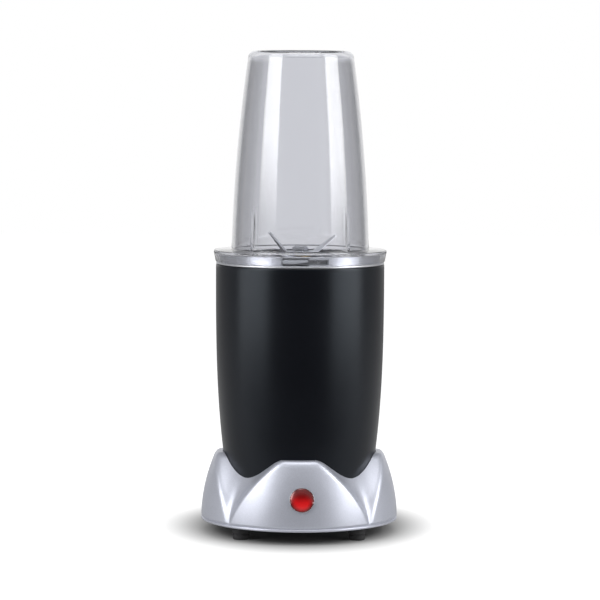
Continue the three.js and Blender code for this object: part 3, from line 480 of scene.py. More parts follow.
class Finish:
    """A material with its Principled shader, and ways to lay the shared effects on it."""

    def __init__(self, name, colour, roughness, **sockets):
        self.material = bpy.data.materials.new(name)
        self.material.use_nodes = True
        self.graph = Graph(self.material.node_tree)
        self.shader = self.material.node_tree.nodes["Principled BSDF"]
        self.colour = (*colour, 1)
        sockets = {"Base_Color": self.colour, "Roughness": roughness, **sockets}
        for label, value in sockets.items():
            self.shader.inputs[label.replace("_", " ")].default_value = value

    def effect(self, tree, **values):
        node = self.graph.add("Group", node_tree=tree)
        for label, value in values.items():
            node.inputs[label].default_value = value
        return node.outputs

    def tone(self, mask, darkest, lightest):
        """Lets a mask lighten and darken the base colour between two factors."""
        mix = self.graph.add("Mix", data_type="RGBA")
        self.graph.link(mask, mix.inputs["Factor"])
        for label, factor in (("A", darkest), ("B", lightest)):
            shade = [min(c * factor, 1) for c in self.colour[:3]]
            socket = next(s for s in mix.inputs if s.name == label and s.type == "RGBA")
            socket.default_value = (*shade, 1)
        colour_out = next(s for s in mix.outputs if s.type == "RGBA")
        self.graph.link(colour_out, self.shader.inputs["Base Color"])

    def roughness(self, mask, smoothest, roughest):
        out = self.graph.rescale(mask, smoothest, roughest)
        self.graph.link(out, self.shader.inputs["Roughness"])

    def bump(self, height, depth):
        node = self.graph.add("Bump")
        node.inputs["Strength"].default_value = 1
        node.inputs["Distance"].default_value = depth * MM
        self.graph.link(height, node.inputs["Height"])
        self.graph.link(node.outputs["Normal"], self.shader.inputs["Normal"])


def silver_paint():
    """Silver paint with metal flakes under a thin coat."""
    made = Finish(
        "silver_paint", (0.415, 0.43, 0.49), 0.39,
        Metallic=0.62, Coat_Weight=0.16, Coat_Roughness=0.22,
    )
    flake = made.effect(FLAKES, Density=2600)["Flake"]
    grain = made.effect(GRAIN, Density=1800, Blotches=14)
    made.tone(flake, 0.94, 1.06)
    made.roughness(grain["Blotch"], 0.36, 0.44)
    made.bump(grain["Grain"], 0.008)
    return made.material


def black_satin():
    """Satin black with a cool sheen, nearly even in gloss."""
    made = Finish(
        "black_satin", (0.0026, 0.0028, 0.0044), 0.29,
        Specular_IOR_Level=0.345, Specular_Tint=(0.80, 0.90, 1.0, 1),
    )
    grain = made.effect(GRAIN, Density=1500, Blotches=22)
    made.tone(grain["Blotch"], 0.85, 1.2)
    made.roughness(grain["Blotch"], 0.25, 0.33)
    made.bump(grain["Grain"], 0.012)
    return made.material


def bright_silver():
    """Bright metal paint on turned parts, with faint rings."""
    made = Finish("bright_silver", (0.51, 0.52, 0.55), 0.2, Metallic=0.85, Coat_Weight=0.2)
    lines = made.effect(LINES, Density=1400)["Lines"]
    made.tone(lines, 0.7, 1.25)
    made.roughness(lines, 0.26, 0.42)
    made.bump(lines, 0.02)
    return made.material


def clear_plastic():
    """Tinted clear plastic, with shade painted in: darker where it is seen edge on, but for the
    cup's closed end.
    """
    made = Finish(
        "clear_plastic", (0.785, 0.79, 0.82), 0.02, Transmission_Weight=1.0, IOR=1.47
    )
    grain = made.effect(GRAIN, Density=90, Blotches=18)
    made.roughness(grain["Blotch"], 0.0, 0.05)
    g = made.graph
    # Painted shade: the base colour darkens where the wall is seen edge on.
    edge_on_shade = g.add("LayerWeight")
    edge_on_shade.inputs["Blend"].default_value = 0.5
    end_z = CUP_TOP_Z * MM
    below_end = g.rescale(g.along("Z"), 1.0, 0.0, end_z - 0.009, end_z - 0.004)
    edge = g.rescale(edge_on_shade.outputs["Facing"], 0.0, 1.0, 0.06, 0.6)
    made.tone(g.math("MULTIPLY", edge, below_end), 1.0, 0.52)
    made.bump(grain["Grain"], 0.004)
    depth = g.add("VolumeAbsorption")
    depth.inputs["Color"].default_value = (0.26, 0.31, 0.42, 1)
    depth.inputs["Density"].default_value = 5
    output = made.material.node_tree.nodes["Material Output"]
    g.link(depth.outputs[0], output.inputs["Volume"])
    return made.material


def red_resin():
    """A clear red dome over red foil, with shade painted in: its colour darkens towards the dome's
    top and its edge.
    """
    made = Finish(
        "red_resin", (0.66, 0.010, 0.012), 0.2,
        Coat_Weight=0.7, Coat_Roughness=0.03, Metallic=0.45,
    )
    g = made.graph
    grain = made.effect(GRAIN, Density=1600, Blotches=140)
    centre = middle("badge") * MM
    # Painted shade: the red darkens towards the badge's top.
    shade = g.rescale(g.along("Z"), 1.0, 0.0, centre.z - 0.0041, centre.z + 0.0049, "SMOOTHSTEP")
    mottle = g.math("MULTIPLY", grain["Blotch"], 0.2)
    # Painted shade: the red also darkens towards the dome's edge.
    reach = g.add("VectorMath", operation="DISTANCE")
    g.link(g.object_place(), reach.inputs[0])
    reach.inputs[1].default_value = centre
    inside = g.rescale(reach.outputs["Value"], 1.0, 0.0, 0.0044, 0.0086, "SMOOTHSTEP")
    made.tone(g.math("MULTIPLY", g.math("ADD", shade, mottle), inside), 0.12, 1.2)
    made.bump(grain["Grain"], 0.004)
    return made.material


def moulded(name, colour, roughness, density=1100, depth=0.02):
    """Moulded plastic or rubber: grain, and blotches in tone and gloss."""
    made = Finish(name, colour, roughness)
    grain = made.effect(GRAIN, Density=density, Blotches=30)
    made.tone(grain["Blotch"], 0.82, 1.18)
    made.roughness(grain["Blotch"], roughness - 0.06, roughness + 0.08)
    made.bump(grain["Grain"], depth)
    return made.material


def machined(name, colour, roughness, metallic=1.0):
    """Bare metal with turning or rolling lines."""
    made = Finish(name, colour, roughness, Metallic=metallic)
    lines = made.effect(LINES, Density=1700)["Lines"]
    made.tone(lines, 0.78, 1.15)
    made.roughness(lines, roughness - 0.08, roughness + 0.12)
    made.bump(lines, 0.01)
    return made.material


def banded(name, colour, roughness, pitch, depth, metallic):
    """Stacked sheets or wound wire: even bands with a little grain."""
    made = Finish(name, colour, roughness, Metallic=metallic)
    bands = made.effect(BANDS, Pitch=pitch)["Bands"]
    grain = made.effect(GRAIN, Density=700, Blotches=60)
    made.tone(bands, 0.55, 1.15)
    made.roughness(grain["Blotch"], roughness - 0.08, roughness + 0.1)
    made.bump(bands, depth)
    return made.material


FINISHES = {
    "silver_painted": silver_paint(),
    "bright_silver": bright_silver(),
    "black_satin": black_satin(),
    "clear_plastic": clear_plastic(),
    "red_gloss": red_resin(),
}
# Each simple finish: how it is made, then its colour, roughness and what its maker takes next.
SIMPLE_FINISHES = {
    "dark_plastic": (moulded, (0.022, 0.023, 0.026), 0.5),
    "grey_plastic": (moulded, (0.25, 0.255, 0.27), 0.42),
    "frosted_plastic": (moulded, (0.62, 0.64, 0.67), 0.38),
    "black_rubber": (moulded, (0.012, 0.012, 0.013), 0.72, 1600, 0.03),
    "grey_rubber": (moulded, (0.16, 0.165, 0.175), 0.68, 1600, 0.03),
    "steel": (machined, (0.55, 0.56, 0.58), 0.24),
    "blade_steel": (machined, (0.70, 0.71, 0.74), 0.3, 0.75),
    "sleeve_brass": (machined, (0.62, 0.43, 0.18), 0.3),
    "laminations": (banded, (0.14, 0.145, 0.155), 0.5, 1400, 0.08, 0.85),
    "copper_wire": (banded, (0.48, 0.20, 0.09), 0.34, 1250, 0.16, 0.9),
    "carbon": (moulded, (0.02, 0.02, 0.021), 0.8, 1900),
}
for finish_name, (make, *values) in SIMPLE_FINISHES.items():
    FINISHES[finish_name] = make(finish_name, *values)

# ---------- Base: crown, badge, gland, feet

CROWN_COLUMNS = 560
SKIN_ROWS = 46
INNER_ROWS = 22
EDGE_ROWS = 4
SKIN_FOOT = 3.2
RIM_BEAD = 1.7
BEAD_PROUD = 0.75
GLAND_HOLE = 5.0


def soft_max(a, b, width):
    """The larger of two depths, eased where they are less than width apart."""
    return np.maximum(a, b) + np.maximum(width - np.abs(a - b), 0) ** 2 / (4 * width)


def crown_depth(angle, radius, height, crease):
    """Below zero inside the crown's outline, above zero outside it."""
    side = radius - skirt_radius(height)
    depth = soft_max(side, height - SKIRT_TOP_Z, TOP_EDGE)
    for k in range(4):
        swing = angle - QUARTER * (k + 0.5)
        x = radius * np.cos(swing) - RIM_RADIUS
        y = radius * np.sin(swing)
        z = height - VALLEY_Z
        along = x * sin(VALLEY_TILT) + z * cos(VALLEY_TILT)
        across = np.hypot(x * cos(VALLEY_TILT) - z * sin(VALLEY_TILT), y)
        opening = VALLEY_SPREAD * along + VALLEY_FLARE * along * np.abs(along)
        depth = soft_max(depth, (opening - across) * cos(atan(VALLEY_SPREAD)), crease)
    return depth


def passage_radius(z):
    return barrel_radius(z) + GAP


def halved(test, lowest, highest):
    """The values between lowest and highest where test changes from below zero to above it."""
    for _ in range(40):
        centre = (lowest + highest) / 2
        outside = test(centre) > 0
        highest = np.where(outside, centre, highest)
        lowest = np.where(outside, lowest, centre)
    return (lowest + highest) / 2


def crown_skin(angles, inset, crease, rows, pivot_z):
    """(radius, height) of the skin moved in by inset: a column for each angle, from the rim up."""
    def depth(angle, radius, height):
        return crown_depth(angle, radius, height, crease) + inset

    pivot = passage_radius(pivot_z)
    top = halved(
        lambda z: depth(angles, passage_radius(z), z),
        np.full_like(angles, pivot_z),
        np.full_like(angles, SKIRT_TOP_Z + 3),
    )
    last = np.arctan2(top - pivot_z, passage_radius(top) - pivot)
    way = last[:, None] * np.linspace(0, 1, rows)[None, :]
    column = np.repeat(angles[:, None], rows, axis=1)
    reach = halved(
        lambda d: depth(column, pivot + d * np.cos(way), pivot_z + d * np.sin(way)),
        np.zeros_like(way),
        np.full_like(way, 1.3 * SKIRT_HEIGHT),
    )
    return pivot + reach * np.cos(way), pivot_z + reach * np.sin(way)


def build_crown():
    """The base's four-peaked skirt: a shell with a beaded rim, the barrel's opening and a hole."""
    angles = np.linspace(0, FULL_TURN, CROWN_COLUMNS, endpoint=False)
    start_z = RIM_Z + SKIN_FOOT
    skin_r, skin_z = crown_skin(angles, 0, CREASE, SKIN_ROWS, start_z)
    inner_r, inner_z = crown_skin(angles, SKIRT_WALL, INNER_CREASE, INNER_ROWS, start_z)
    rim = skirt_radius(RIM_Z)
    bead = np.array([
        (rim - SKIRT_WALL, RIM_Z), (rim - 0.7, RIM_Z), (rim - 0.2, RIM_Z + 0.2), (rim, RIM_Z + 0.7),
        (rim, RIM_Z + RIM_BEAD - 0.4), (rim - 0.15, RIM_Z + RIM_BEAD),
        (rim - BEAD_PROUD, RIM_Z + RIM_BEAD + 0.25), (rim - BEAD_PROUD, RIM_Z + RIM_BEAD + 0.6),
    ])
    bead_r, bead_z = (np.repeat(bead[None, :, k], CROWN_COLUMNS, axis=0) for k in (0, 1))
    edge = np.linspace(0, 1, EDGE_ROWS + 2)[None, 1:-1]
    edge_z = skin_z[:, -1:] + (inner_z[:, -1:] - skin_z[:, -1:]) * edge
    edge_r = passage_radius(edge_z)
    ring_r = np.hstack([bead_r, skin_r, edge_r, inner_r[:, ::-1]])
    ring_z = np.hstack([bead_z, skin_z, edge_z, inner_z[:, ::-1]])
    rows = ring_r.shape[1]
    x = ring_r * np.cos(angles)[:, None]
    y = ring_r * np.sin(angles)[:, None]
    points = np.stack([x, y, ring_z], axis=2).reshape(-1, 3).tolist()
    faces = []
    for i in range(CROWN_COLUMNS):
        here, ahead = i * rows, (i + 1) % CROWN_COLUMNS * rows
        for j in range(rows):
            up = (j + 1) % rows
            faces.append((here + j, ahead + j, ahead + up, here + up))
    crown = piece_from(points, faces=faces)
    mend_normals(crown)
    hole = cylinder(GLAND_HOLE, 0, 0, 40, RIM_RADIUS + 5, 48)
    hole = place(hole, shift(z=middle("cord_gland").z) @ turn(-QUARTER, "X"))
    combine(crown, hole, "DIFFERENCE")
    smooth(crown, 50)
    return crown


GLAND_BORE = 3.4
GLAND_WALL = 1.3
GLAND_FLANGE = 6.7
GLAND_PROUD = 1.8


def build_gland():
    """The cord's inlet: a sleeve through the panel with a flange and a sunk mouth."""
    front, back = low("cord_gland").y, high("cord_gland").y
    seat, outer = back - GLAND_PROUD, GLAND_BORE + GLAND_WALL
    gland = turned([
        (GLAND_BORE, front), (outer - 0.3, front, 0.2), (outer, seat - 4), (outer, seat + GAP),
        (GLAND_FLANGE, seat + GAP), (GLAND_FLANGE, back, 0.7), (GLAND_BORE + 1.6, back, 0.4),
        (GLAND_BORE + 1.2, back - 0.6), (GLAND_BORE, back - 0.6, 0.25),
    ], steps=64)
    return place(gland, shift(z=middle("cord_gland").z) @ turn(-QUARTER, "X"))


BADGE_RADIUS = 8.8
BADGE_BEZEL = 0.4
BEZEL_ROOM = 0.06
BADGE_RISE = 22.4
BADGE_OFFSET = 2.0
BADGE_SUNK = 1.2
DOME_RISE = 1.9


def badge_place():
    """Stands a piece made about Z on the front panel, at the badge's middle."""
    lean = atan(2 * SKIRT_LEAN * BADGE_RISE / SKIRT_HEIGHT**2)
    z = RIM_Z + BADGE_RISE
    return shift(BADGE_OFFSET, -skirt_radius(z), z) @ turn(QUARTER - lean, "X")


def build_badge():
    """A plain red dome in a slim bright bezel."""
    lens_radius = BADGE_RADIUS - BADGE_BEZEL
    curve = (lens_radius**2 + DOME_RISE**2) / (2 * DOME_RISE)
    edge = asin(lens_radius / curve)
    dome = [(curve * sin(a), DOME_RISE - curve * (1 - cos(a))) for a in spread(edge, 0, 16)]
    back = -BADGE_SUNK
    lens = turned([(0, back), (lens_radius, back), *dome[:-1], (0, dome[-1][1])], 72)
    bore = lens_radius + BEZEL_ROOM
    bezel = turned([
        (bore, back), (BADGE_RADIUS, back), (BADGE_RADIUS, 0.3, 0.14), (bore, 0.3, 0.08),
    ], 96)
    return place(lens, badge_place()), place(bezel, badge_place())


PLATE_RECESS = 1.0
STEM_RADIUS = 2.6
BARB_HEIGHT = 2.4


def build_foot():
    """One foot about Z: hollow below, with a ring groove half way up and a barbed stem."""
    radius = (high("rubber_foot_1").x - low("rubber_foot_1").x) / 2
    top = RIM_Z + PLATE_RECESS - GAP
    stem, barb, waist = STEM_RADIUS, high("rubber_foot_1").z - BARB_HEIGHT, radius - 0.7
    return turned([
        (0, 0.9), (radius - 3.0, 0.9, 0.4), (radius - 2.6, 0, 0.3), (radius - 0.9, 0, 0.4),
        (radius - 0.35, 0.8, 0.3), (radius - 0.15, 3.4, 0.2), (waist, 3.7, 0.15),
        (waist, 4.3, 0.15), (radius, 4.6, 0.25), (radius, top, 0.4), (stem, top), (stem, barb),
        (stem + 0.9, barb, 0.2), (stem, barb + BARB_HEIGHT, 0.4), (0, barb + BARB_HEIGHT),
    ], steps=56, corner_steps=3)


CROSS_SLOT = (3.0, 0.6, 1.8)


def build_screw():
    """One base screw about Z, head down, with a cross recess and a ridged shank."""
    head_z, tip_z = span("base_screw_1")
    head, shank, neck_z = 3.0, 1.5, head_z + 1.3
    screw = turned([
        (0, head_z), (2.2, head_z, 0.4), (head, head_z + 0.7, 0.3), (head, neck_z, 0.2),
        (shank, neck_z),
        *[(shank - 0.35 * (i % 2), head_z + 2.6 + 0.45 * i) for i in range(20)],
        (0.5, tip_z, 0.2), (0, tip_z),
    ], steps=32, corner_steps=3)
    for angle in (0, QUARTER):
        deselect()
        bpy.ops.mesh.primitive_cube_add(size=1)
        bar = bpy.context.object
        bar.scale = [size * MM for size in CROSS_SLOT]
        bpy.ops.object.transform_apply(scale=True)
        combine(screw, place(bar, shift(z=head_z) @ turn(angle)), "DIFFERENCE")
    return screw


# ---------- Barrel, bayonet ring, well


def build_barrel():
    """The motor's housing: a shell that narrows towards its foot inside the crown."""
    heights = spread(BARREL_TOP_Z - SPIGOT_DEPTH, BARREL_TOP_Z - 2.5, 34)
    outside = [(float(barrel_radius(z)), z) for z in heights]
    inside = [(r - BARREL_WALL, z) for r, z in outside[::-4]]
    foot = float(barrel_radius(BARREL_BOTTOM_Z))
    return turned([
        (foot - BARREL_WALL, BARREL_BOTTOM_Z), (foot, BARREL_BOTTOM_Z, 0.5), *outside,
        (BARREL_RADIUS, BARREL_TOP_Z, 0.55), (BARREL_RADIUS - BARREL_WALL, BARREL_TOP_Z, 0.3),
        *inside,
    ], steps=192)


PIN_CIRCLE = hypot(*spot("activator_pin_1"))
PIN_ANGLES = around(TABS, FIRST_NOTCH + PIN_AHEAD)
RING_SKIRT = 1.4


def drill_pin_holes(obj, z0, z1):
    for a in PIN_ANGLES:
        drill(obj, PIN_HOLE, *polar(PIN_CIRCLE, a), z0, z1)


def notch_cutter(a):
    """An L-shaped slot for one tab: straight down at angle a, then along the ring by the twist."""
    half = TAB_HALF + TAB_CLEARANCE
    inner, outer = RING_INNER - 1, RING_RADIUS + 1
    ledge, above = RING_Z + RING_LEDGE, RING_TOP_Z + 1
    notch = sector(inner, outer, a - half, a + half, ledge + 0.02, above)
    groove_top = GROOVE_Z + GROOVE_HEIGHT
    combine(notch, sector(inner, outer, a, a + half + TWIST, GROOVE_Z, groove_top, 20), "UNION")
    wide = half + 2 * NOTCH_CHAMFER / RING_RADIUS
    outline = [polar(RING_RADIUS - NOTCH_CHAMFER, t) for t in spread(a - half, a + half, 20)]
    outline += [polar(RING_RADIUS + NOTCH_CHAMFER, t) for t in spread(a + wide, a - wide, 20)]
    combine(notch, prism(outline, ledge + 0.4, above), "UNION")
    return notch


def build_ring():
    """The bayonet ring: a lip, a wall with a slot for each tab, and a ledge with pin holes."""
    ledge_inner = WELL_RADIUS + WELL_WALL + GAP
    spigot = BARREL_RADIUS - BARREL_WALL - GAP
    foot_z = low("bayonet_ring").z
    lip_z, ledge = RING_Z + RING_LIP, RING_Z + RING_LEDGE
    ring = turned([
        (ledge_inner, RING_Z), (spigot - RING_SKIRT, RING_Z), (spigot - RING_SKIRT, foot_z),
        (spigot, foot_z), (spigot, RING_Z), (RING_LIP_RADIUS, RING_Z, 0.35),
        (RING_LIP_RADIUS, lip_z, 0.6), (RING_RADIUS + 0.25, lip_z + 0.25, 0.3),
        (RING_RADIUS, lip_z + 1.0), (RING_RADIUS, RING_TOP_Z, 0.45), (RING_INNER, RING_TOP_Z, 0.45),
        (RING_INNER, ledge, 0.4), (ledge_inner, ledge, 0.4),
    ], steps=224, corner_steps=3)
    for a in around(TABS, FIRST_NOTCH):
        combine(ring, notch_cutter(a), "DIFFERENCE")
    drill_pin_holes(ring, RING_Z - 1, ledge + 1)
    smooth(ring, 30)
    return ring


SHELF_DEPTH = 16.5
SHELF_WALL = 2.2
SHELF_Z = BARREL_TOP_Z - SHELF_DEPTH
SHELF_TOP_Z = SHELF_Z + SHELF_WALL
HUB_RADIUS = 9.3
HUB_WALL = 2.2
WELL_FLOOR = 2.4
COUPLING_ROOM = 1.8
PILLAR_RADIUS = 4.6
BOLT_HOLE = 2.3


def build_well():
    """The round well under the blade unit, with a shelf for the pins and pillars for the motor."""
    floor_top = low("drive_coupling").z - COUPLING_ROOM
    floor = floor_top - WELL_FLOOR
    shelf_edge = float(barrel_radius(SHELF_Z)) - BARREL_WALL - GAP
    outer, hub = WELL_RADIUS + WELL_WALL, HUB_RADIUS + HUB_WALL
    pillar_z, top = span("well_insert")
    well = turned([
        (HUB_RADIUS, floor - 2), (hub, floor - 2), (hub, floor), (outer, floor, 1.0),
        (outer, SHELF_Z), (shelf_edge, SHELF_Z), (shelf_edge, SHELF_TOP_Z),
        (outer, SHELF_TOP_Z, 0.4), (outer, top, 0.4), (WELL_RADIUS, top, 0.4),
        (WELL_RADIUS, floor_top, 2.0), (HUB_RADIUS + 6, floor_top, 0.6),
        (HUB_RADIUS + 5, floor_top + 0.4, 0.3), (HUB_RADIUS, floor_top + 0.4, 0.3),
    ], steps=128)
    x, y = spot("motor_bolt_1")
    for px, py in ((x, y), (-x, y), (-x, -y), (x, -y)):
        combine(well, cylinder(PILLAR_RADIUS, px, py, pillar_z, floor + 0.5), "UNION")
    for px, py in ((x, y), (-x, -y)):
        drill(well, BOLT_HOLE, px, py, pillar_z - 1, high("motor_bolt_1").z + 1)
    drill_pin_holes(well, SHELF_Z - 1, SHELF_Z + 3)
    smooth(well, 30)
    return well


PIN_RADIUS = 1.7
PIN_COLLAR = 2.5
PIN_COLLAR_HEIGHT = 1.5
SPRING_ROOM = 8.2
PIN_COLLAR_Z = SHELF_TOP_Z + SPRING_ROOM
SPRING_WIRE = 0.6
SPRING_TURNS = 5
SPRING_STEPS = 28
FLAT_TURNS = 0.8


def build_pin_spring(node):
    """A coil spring with closed ends, round its pin between the shelf and the pin's collar."""
    coil = (high(node).x - low(node).x - SPRING_WIRE) / 2
    z0, z1 = low(node).z + SPRING_WIRE / 2, high(node).z - SPRING_WIRE / 2
    count = SPRING_STEPS * SPRING_TURNS
    wire = bpy.data.curves.new("spring", "CURVE")
    wire.dimensions = "3D"
    wire.bevel_depth = SPRING_WIRE / 2 * MM
    wire.bevel_resolution = 2
    wire.use_fill_caps = True
    line = wire.splines.new("POLY")
    line.points.add(count)
    for i, point in enumerate(line.points):
        share = i / count
        climb = (share * SPRING_TURNS - FLAT_TURNS) / (SPRING_TURNS - 2 * FLAT_TURNS)
        rise = min(max(climb, 0), 1)
        px, py = polar(coil, share * SPRING_TURNS * FULL_TURN)
        point.co = (px * MM, py * MM, (z0 + (z1 - z0) * rise) * MM, 1)
    activate(add_object("spring", wire))
    bpy.ops.object.convert(target="MESH")
    spring = bpy.context.object
    mend_normals(spring)
    smooth(spring, 50)
    return place(spring, shift(*spot(node)))


def build_pin(node):
    """A round pin with a collar for its spring to push on."""
    z0, z1 = span(node)
    collar_top = PIN_COLLAR_Z + PIN_COLLAR_HEIGHT
    pin = turned([
        (0, z0), (PIN_RADIUS, z0, 0.4), (PIN_RADIUS, PIN_COLLAR_Z), (PIN_COLLAR, PIN_COLLAR_Z, 0.3),
        (PIN_COLLAR, collar_top, 0.3), (PIN_RADIUS, collar_top), (PIN_RADIUS, z1, 0.8), (0, z1),
    ], steps=32)
    return place(pin, shift(*spot(node)))


# ---------- Blade unit

SLEEVE_RADIUS = 6.0
SPINDLE_RADIUS = 3.0
FLUTES = 36
BLADE_THICKNESS = 1.5
BLADE_REACH = 11.0
BLADE_WIDTH = 11.0
BLADE_TIP = 2.0
GROUND_WIDTH = 2.6
# Each blade's arm length, the bends of its two arms, and how far it is swung round the spindle.
LOWER_BLADE = (19.0, (radians(-8), radians(-8)), radians(52))
UPPER_BLADE = (19.5, (radians(37), radians(50)), radians(14))
NUT_RADIUS = 5.5
NUT_CHAMFER = 0.9


def build_holder():
    """The cap that the cup screws into: a floor, a ribbed wall and a boss for the bearing."""
    bore = SLEEVE_RADIUS + GAP
    floor_top = HOLDER_Z + HOLDER_FLOOR
    r, inner = HOLDER_RADIUS, HOLDER_RADIUS - HOLDER_WALL
    holder = turned([
        (bore, HOLDER_Z), (r - 4, HOLDER_Z), (r - 3.4, HOLDER_Z + 0.5), (r - 2.2, HOLDER_Z + 0.5),
        (r - 1.8, HOLDER_Z), (r, HOLDER_Z, 0.8), (r, HOLDER_TOP_Z, 0.4), (inner, HOLDER_TOP_Z, 0.4),
        (inner, floor_top, 1.0), (16, floor_top, 2.0), (9, BOSS_TOP_Z, 1.0),
        (bore, BOSS_TOP_Z, 0.4),
    ], steps=144, corner_steps=5)
    places = [polar(r + 0.3, a) for a in around(FLUTES)]
    flutes = [cylinder(0.75, x, y, HOLDER_Z - 1, HOLDER_Z + 7, 12) for x, y in places]
    combine(holder, merge(flutes), "DIFFERENCE")
    smooth(holder, 35)
    return holder


def build_gasket():
    """A soft ring under the cup's neck, a little waisted."""
    z0, z1 = span("gasket_ring")
    inner, outer = NECK_RADIUS - NECK_WALL, NECK_RADIUS
    centre = (z0 + z1) / 2
    return turned([
        (inner, z0, 0.3), (outer, z0, 0.3), (outer - 0.1, centre, 0.1), (outer, z1, 0.3),
        (inner + 0.5, z1, 0.2), (inner, centre, 0.2),
    ], steps=128)


def build_sleeve():
    """The spindle's bearing, with a collar over the holder's boss."""
    z0, z1 = span("sleeve_bearing")
    bore, collar, collar_z = SPINDLE_RADIUS + GAP, SLEEVE_RADIUS + 2, z1 - SLEEVE_COLLAR
    return turned([
        (bore, z0), (SLEEVE_RADIUS, z0, 0.3), (SLEEVE_RADIUS, collar_z), (collar, collar_z, 0.2),
        (collar, z1, 0.35), (bore, z1, 0.4),
    ], steps=64)


def build_spindle():
    """The blades' shaft, with a groove near its foot."""
    z0, z1 = span("blade_spindle")
    r, groove = SPINDLE_RADIUS, SPINDLE_RADIUS - 0.35
    return turned([
        (0, z0), (r, z0, 0.5), (r, z0 + 3), (groove, z0 + 3.2), (groove, z0 + 4), (r, z0 + 4.2),
        (r, z1, 0.4), (0, z1),
    ], steps=40)


def build_blade(arm, bends, swing, z):
    """A bar bent at both ends that narrows to its tips, each arm ground along its slanted side."""
    t = BLADE_THICKNESS
    half = BLADE_WIDTH / 2
    rows = []
    for side, bend in ((-1, bends[1]), (1, bends[0])):
        tip = BLADE_REACH + arm * cos(bend)
        stations = [BLADE_REACH - 4, BLADE_REACH - 1.5, BLADE_REACH]
        stations += spread(BLADE_REACH + 1, tip, 6)
        arm_rows = []
        for s in stations:
            beyond = max(s - BLADE_REACH, 0)
            share = beyond / arm
            ground = side * (share * (BLADE_TIP / 2 + half) - half)
            back = side * (share * (BLADE_TIP - half) + half)
            if s == BLADE_REACH:
                up = (-side * tan(bend / 2), 1)
            elif beyond:
                up = (-side * sin(bend), cos(bend))
            else:
                up = (0, 1)
            bevel = min(GROUND_WIDTH, 0.6 * abs(back - ground)) if beyond else 0.3
            edge = 0.25 if beyond else t - 0.3
            inward = side * bevel
            section = [(back, 0), (back, t), (ground + inward, t), (ground, edge), (ground, 0)]
            foot_x, foot_z = side * s, beyond * tan(bend)
            arm_rows.append([(foot_x + up[0] * h, y, foot_z + up[1] * h) for y, h in section])
        rows += arm_rows[::-1] if side < 0 else arm_rows
    # The first arm's sections are turned to run the same way round as the second's.
    for row in rows[: len(rows) // 2]:
        row.reverse()
        row.insert(0, row.pop())
    blade = lofted(rows)
    drill(blade, SPINDLE_RADIUS + GAP, 0, 0, -2, t + 2, 40)
    apply_modifier(blade, "BEVEL", width=0.12 * MM, segments=2, limit_method="ANGLE")
    smooth(blade, 32)
    return place(blade, shift(z=z) @ turn(swing))


def build_nut():
    """A six-sided nut, its top corners turned away and its bore blind."""
    z0, z1 = span("blade_nut")
    r, edge_z = NUT_RADIUS, z1 - NUT_CHAMFER
    nut = prism([polar(r, a) for a in around(6)], z0, z1)
    dome = turned([(0, z0 - 1), (r, z0 - 1), (r, edge_z), (r - 1.1, z1, 0.2), (0, z1)], 64)
    combine(nut, dome, "INTERSECT")
    drill(nut, SPINDLE_RADIUS + GAP, 0, 0, z0 - 1, edge_z)
    smooth(nut, 28)
    return nut


# ---------- Cup


def collar_inner(z):
    share = (FLANGE_Z - z) / (FLANGE_Z - COLLAR_Z)
    return FLANGE_RADIUS - COLLAR_WALL - COLLAR_TAPER * share


def cup_outline(z0, top_z, offset, fillet, steps, fillet_steps):
    fillet_z = top_z - fillet
    points = [(cup_radius(z) - offset, z) for z in spread(z0, fillet_z, steps)]
    corner = cup_radius(fillet_z) - offset - fillet
    for a in spread(0, QUARTER, fillet_steps + 1)[1:]:
        points.append((corner + fillet * cos(a), fillet_z + fillet * sin(a)))
    return points


def build_cup():
    """The inverted cup: neck, flange, flared collar, wall and closed end, with four ribs inside."""
    neck_inner = NECK_RADIUS - NECK_WALL
    inner_top = CUP_TOP_Z - CUP_END
    outside = cup_outline(FLANGE_TOP_Z + 1.2, CUP_TOP_Z, 0, CUP_FILLET, 44, 12)
    inside = cup_outline(FLANGE_TOP_Z - 0.2, inner_top, CUP_WALL, 3.2, 30, 8)[::-1]
    shoulder = cup_radius(FLANGE_TOP_Z) - CUP_WALL
    collar_foot = collar_inner(COLLAR_Z)
    cup = turned([
        (neck_inner, NECK_BOTTOM_Z, 0.5), (NECK_RADIUS, NECK_BOTTOM_Z, 0.5),
        (NECK_RADIUS, FLANGE_Z, 0.8), (collar_inner(FLANGE_Z), FLANGE_Z, 0.4),
        (collar_foot, COLLAR_Z, 0.25), (collar_foot + COLLAR_WALL, COLLAR_Z, 0.35),
        (FLANGE_RADIUS, FLANGE_Z), (FLANGE_RADIUS, FLANGE_TOP_Z, 0.6),
        (cup_radius(FLANGE_TOP_Z), FLANGE_TOP_Z, 1.0), *outside, (0, CUP_TOP_Z),
        (0, inner_top), *inside, (shoulder, FLANGE_Z - 0.6, 0.5), (neck_inner, FLANGE_Z - 2.6, 1.2),
    ], steps=256, corner_steps=4)
    for a in around(4, QUARTER / 2):
        combine(cup, build_rib(a), "UNION")
    smooth(cup, 32)
    return cup


TAB_ROOM = 0.03


def build_tab(angle):
    """A bayonet tab on the collar's inside, its underside sloped so that it presses a pin."""
    inner = WELL_RADIUS + WELL_WALL + 2 * GAP
    top = GROOVE_Z + GROOVE_HEIGHT - GAP
    bottom = top - TAB_THICKNESS
    sections = []
    for a in spread(-TAB_HALF, TAB_HALF, 14):
        z = bottom + max(a, 0) * PIN_TRAVEL / TWIST
        low_edge, top_edge = collar_inner(z) - TAB_ROOM, collar_inner(top) - TAB_ROOM
        corners = ((inner, z), (low_edge, z), (top_edge, top), (inner, top))
        sections.append([(*polar(r, angle + a), height) for r, height in corners])
    tab = lofted(sections)
    apply_modifier(tab, "BEVEL", width=0.3 * MM, segments=3, limit_method="ANGLE")
    smooth(tab, 35)
    return tab


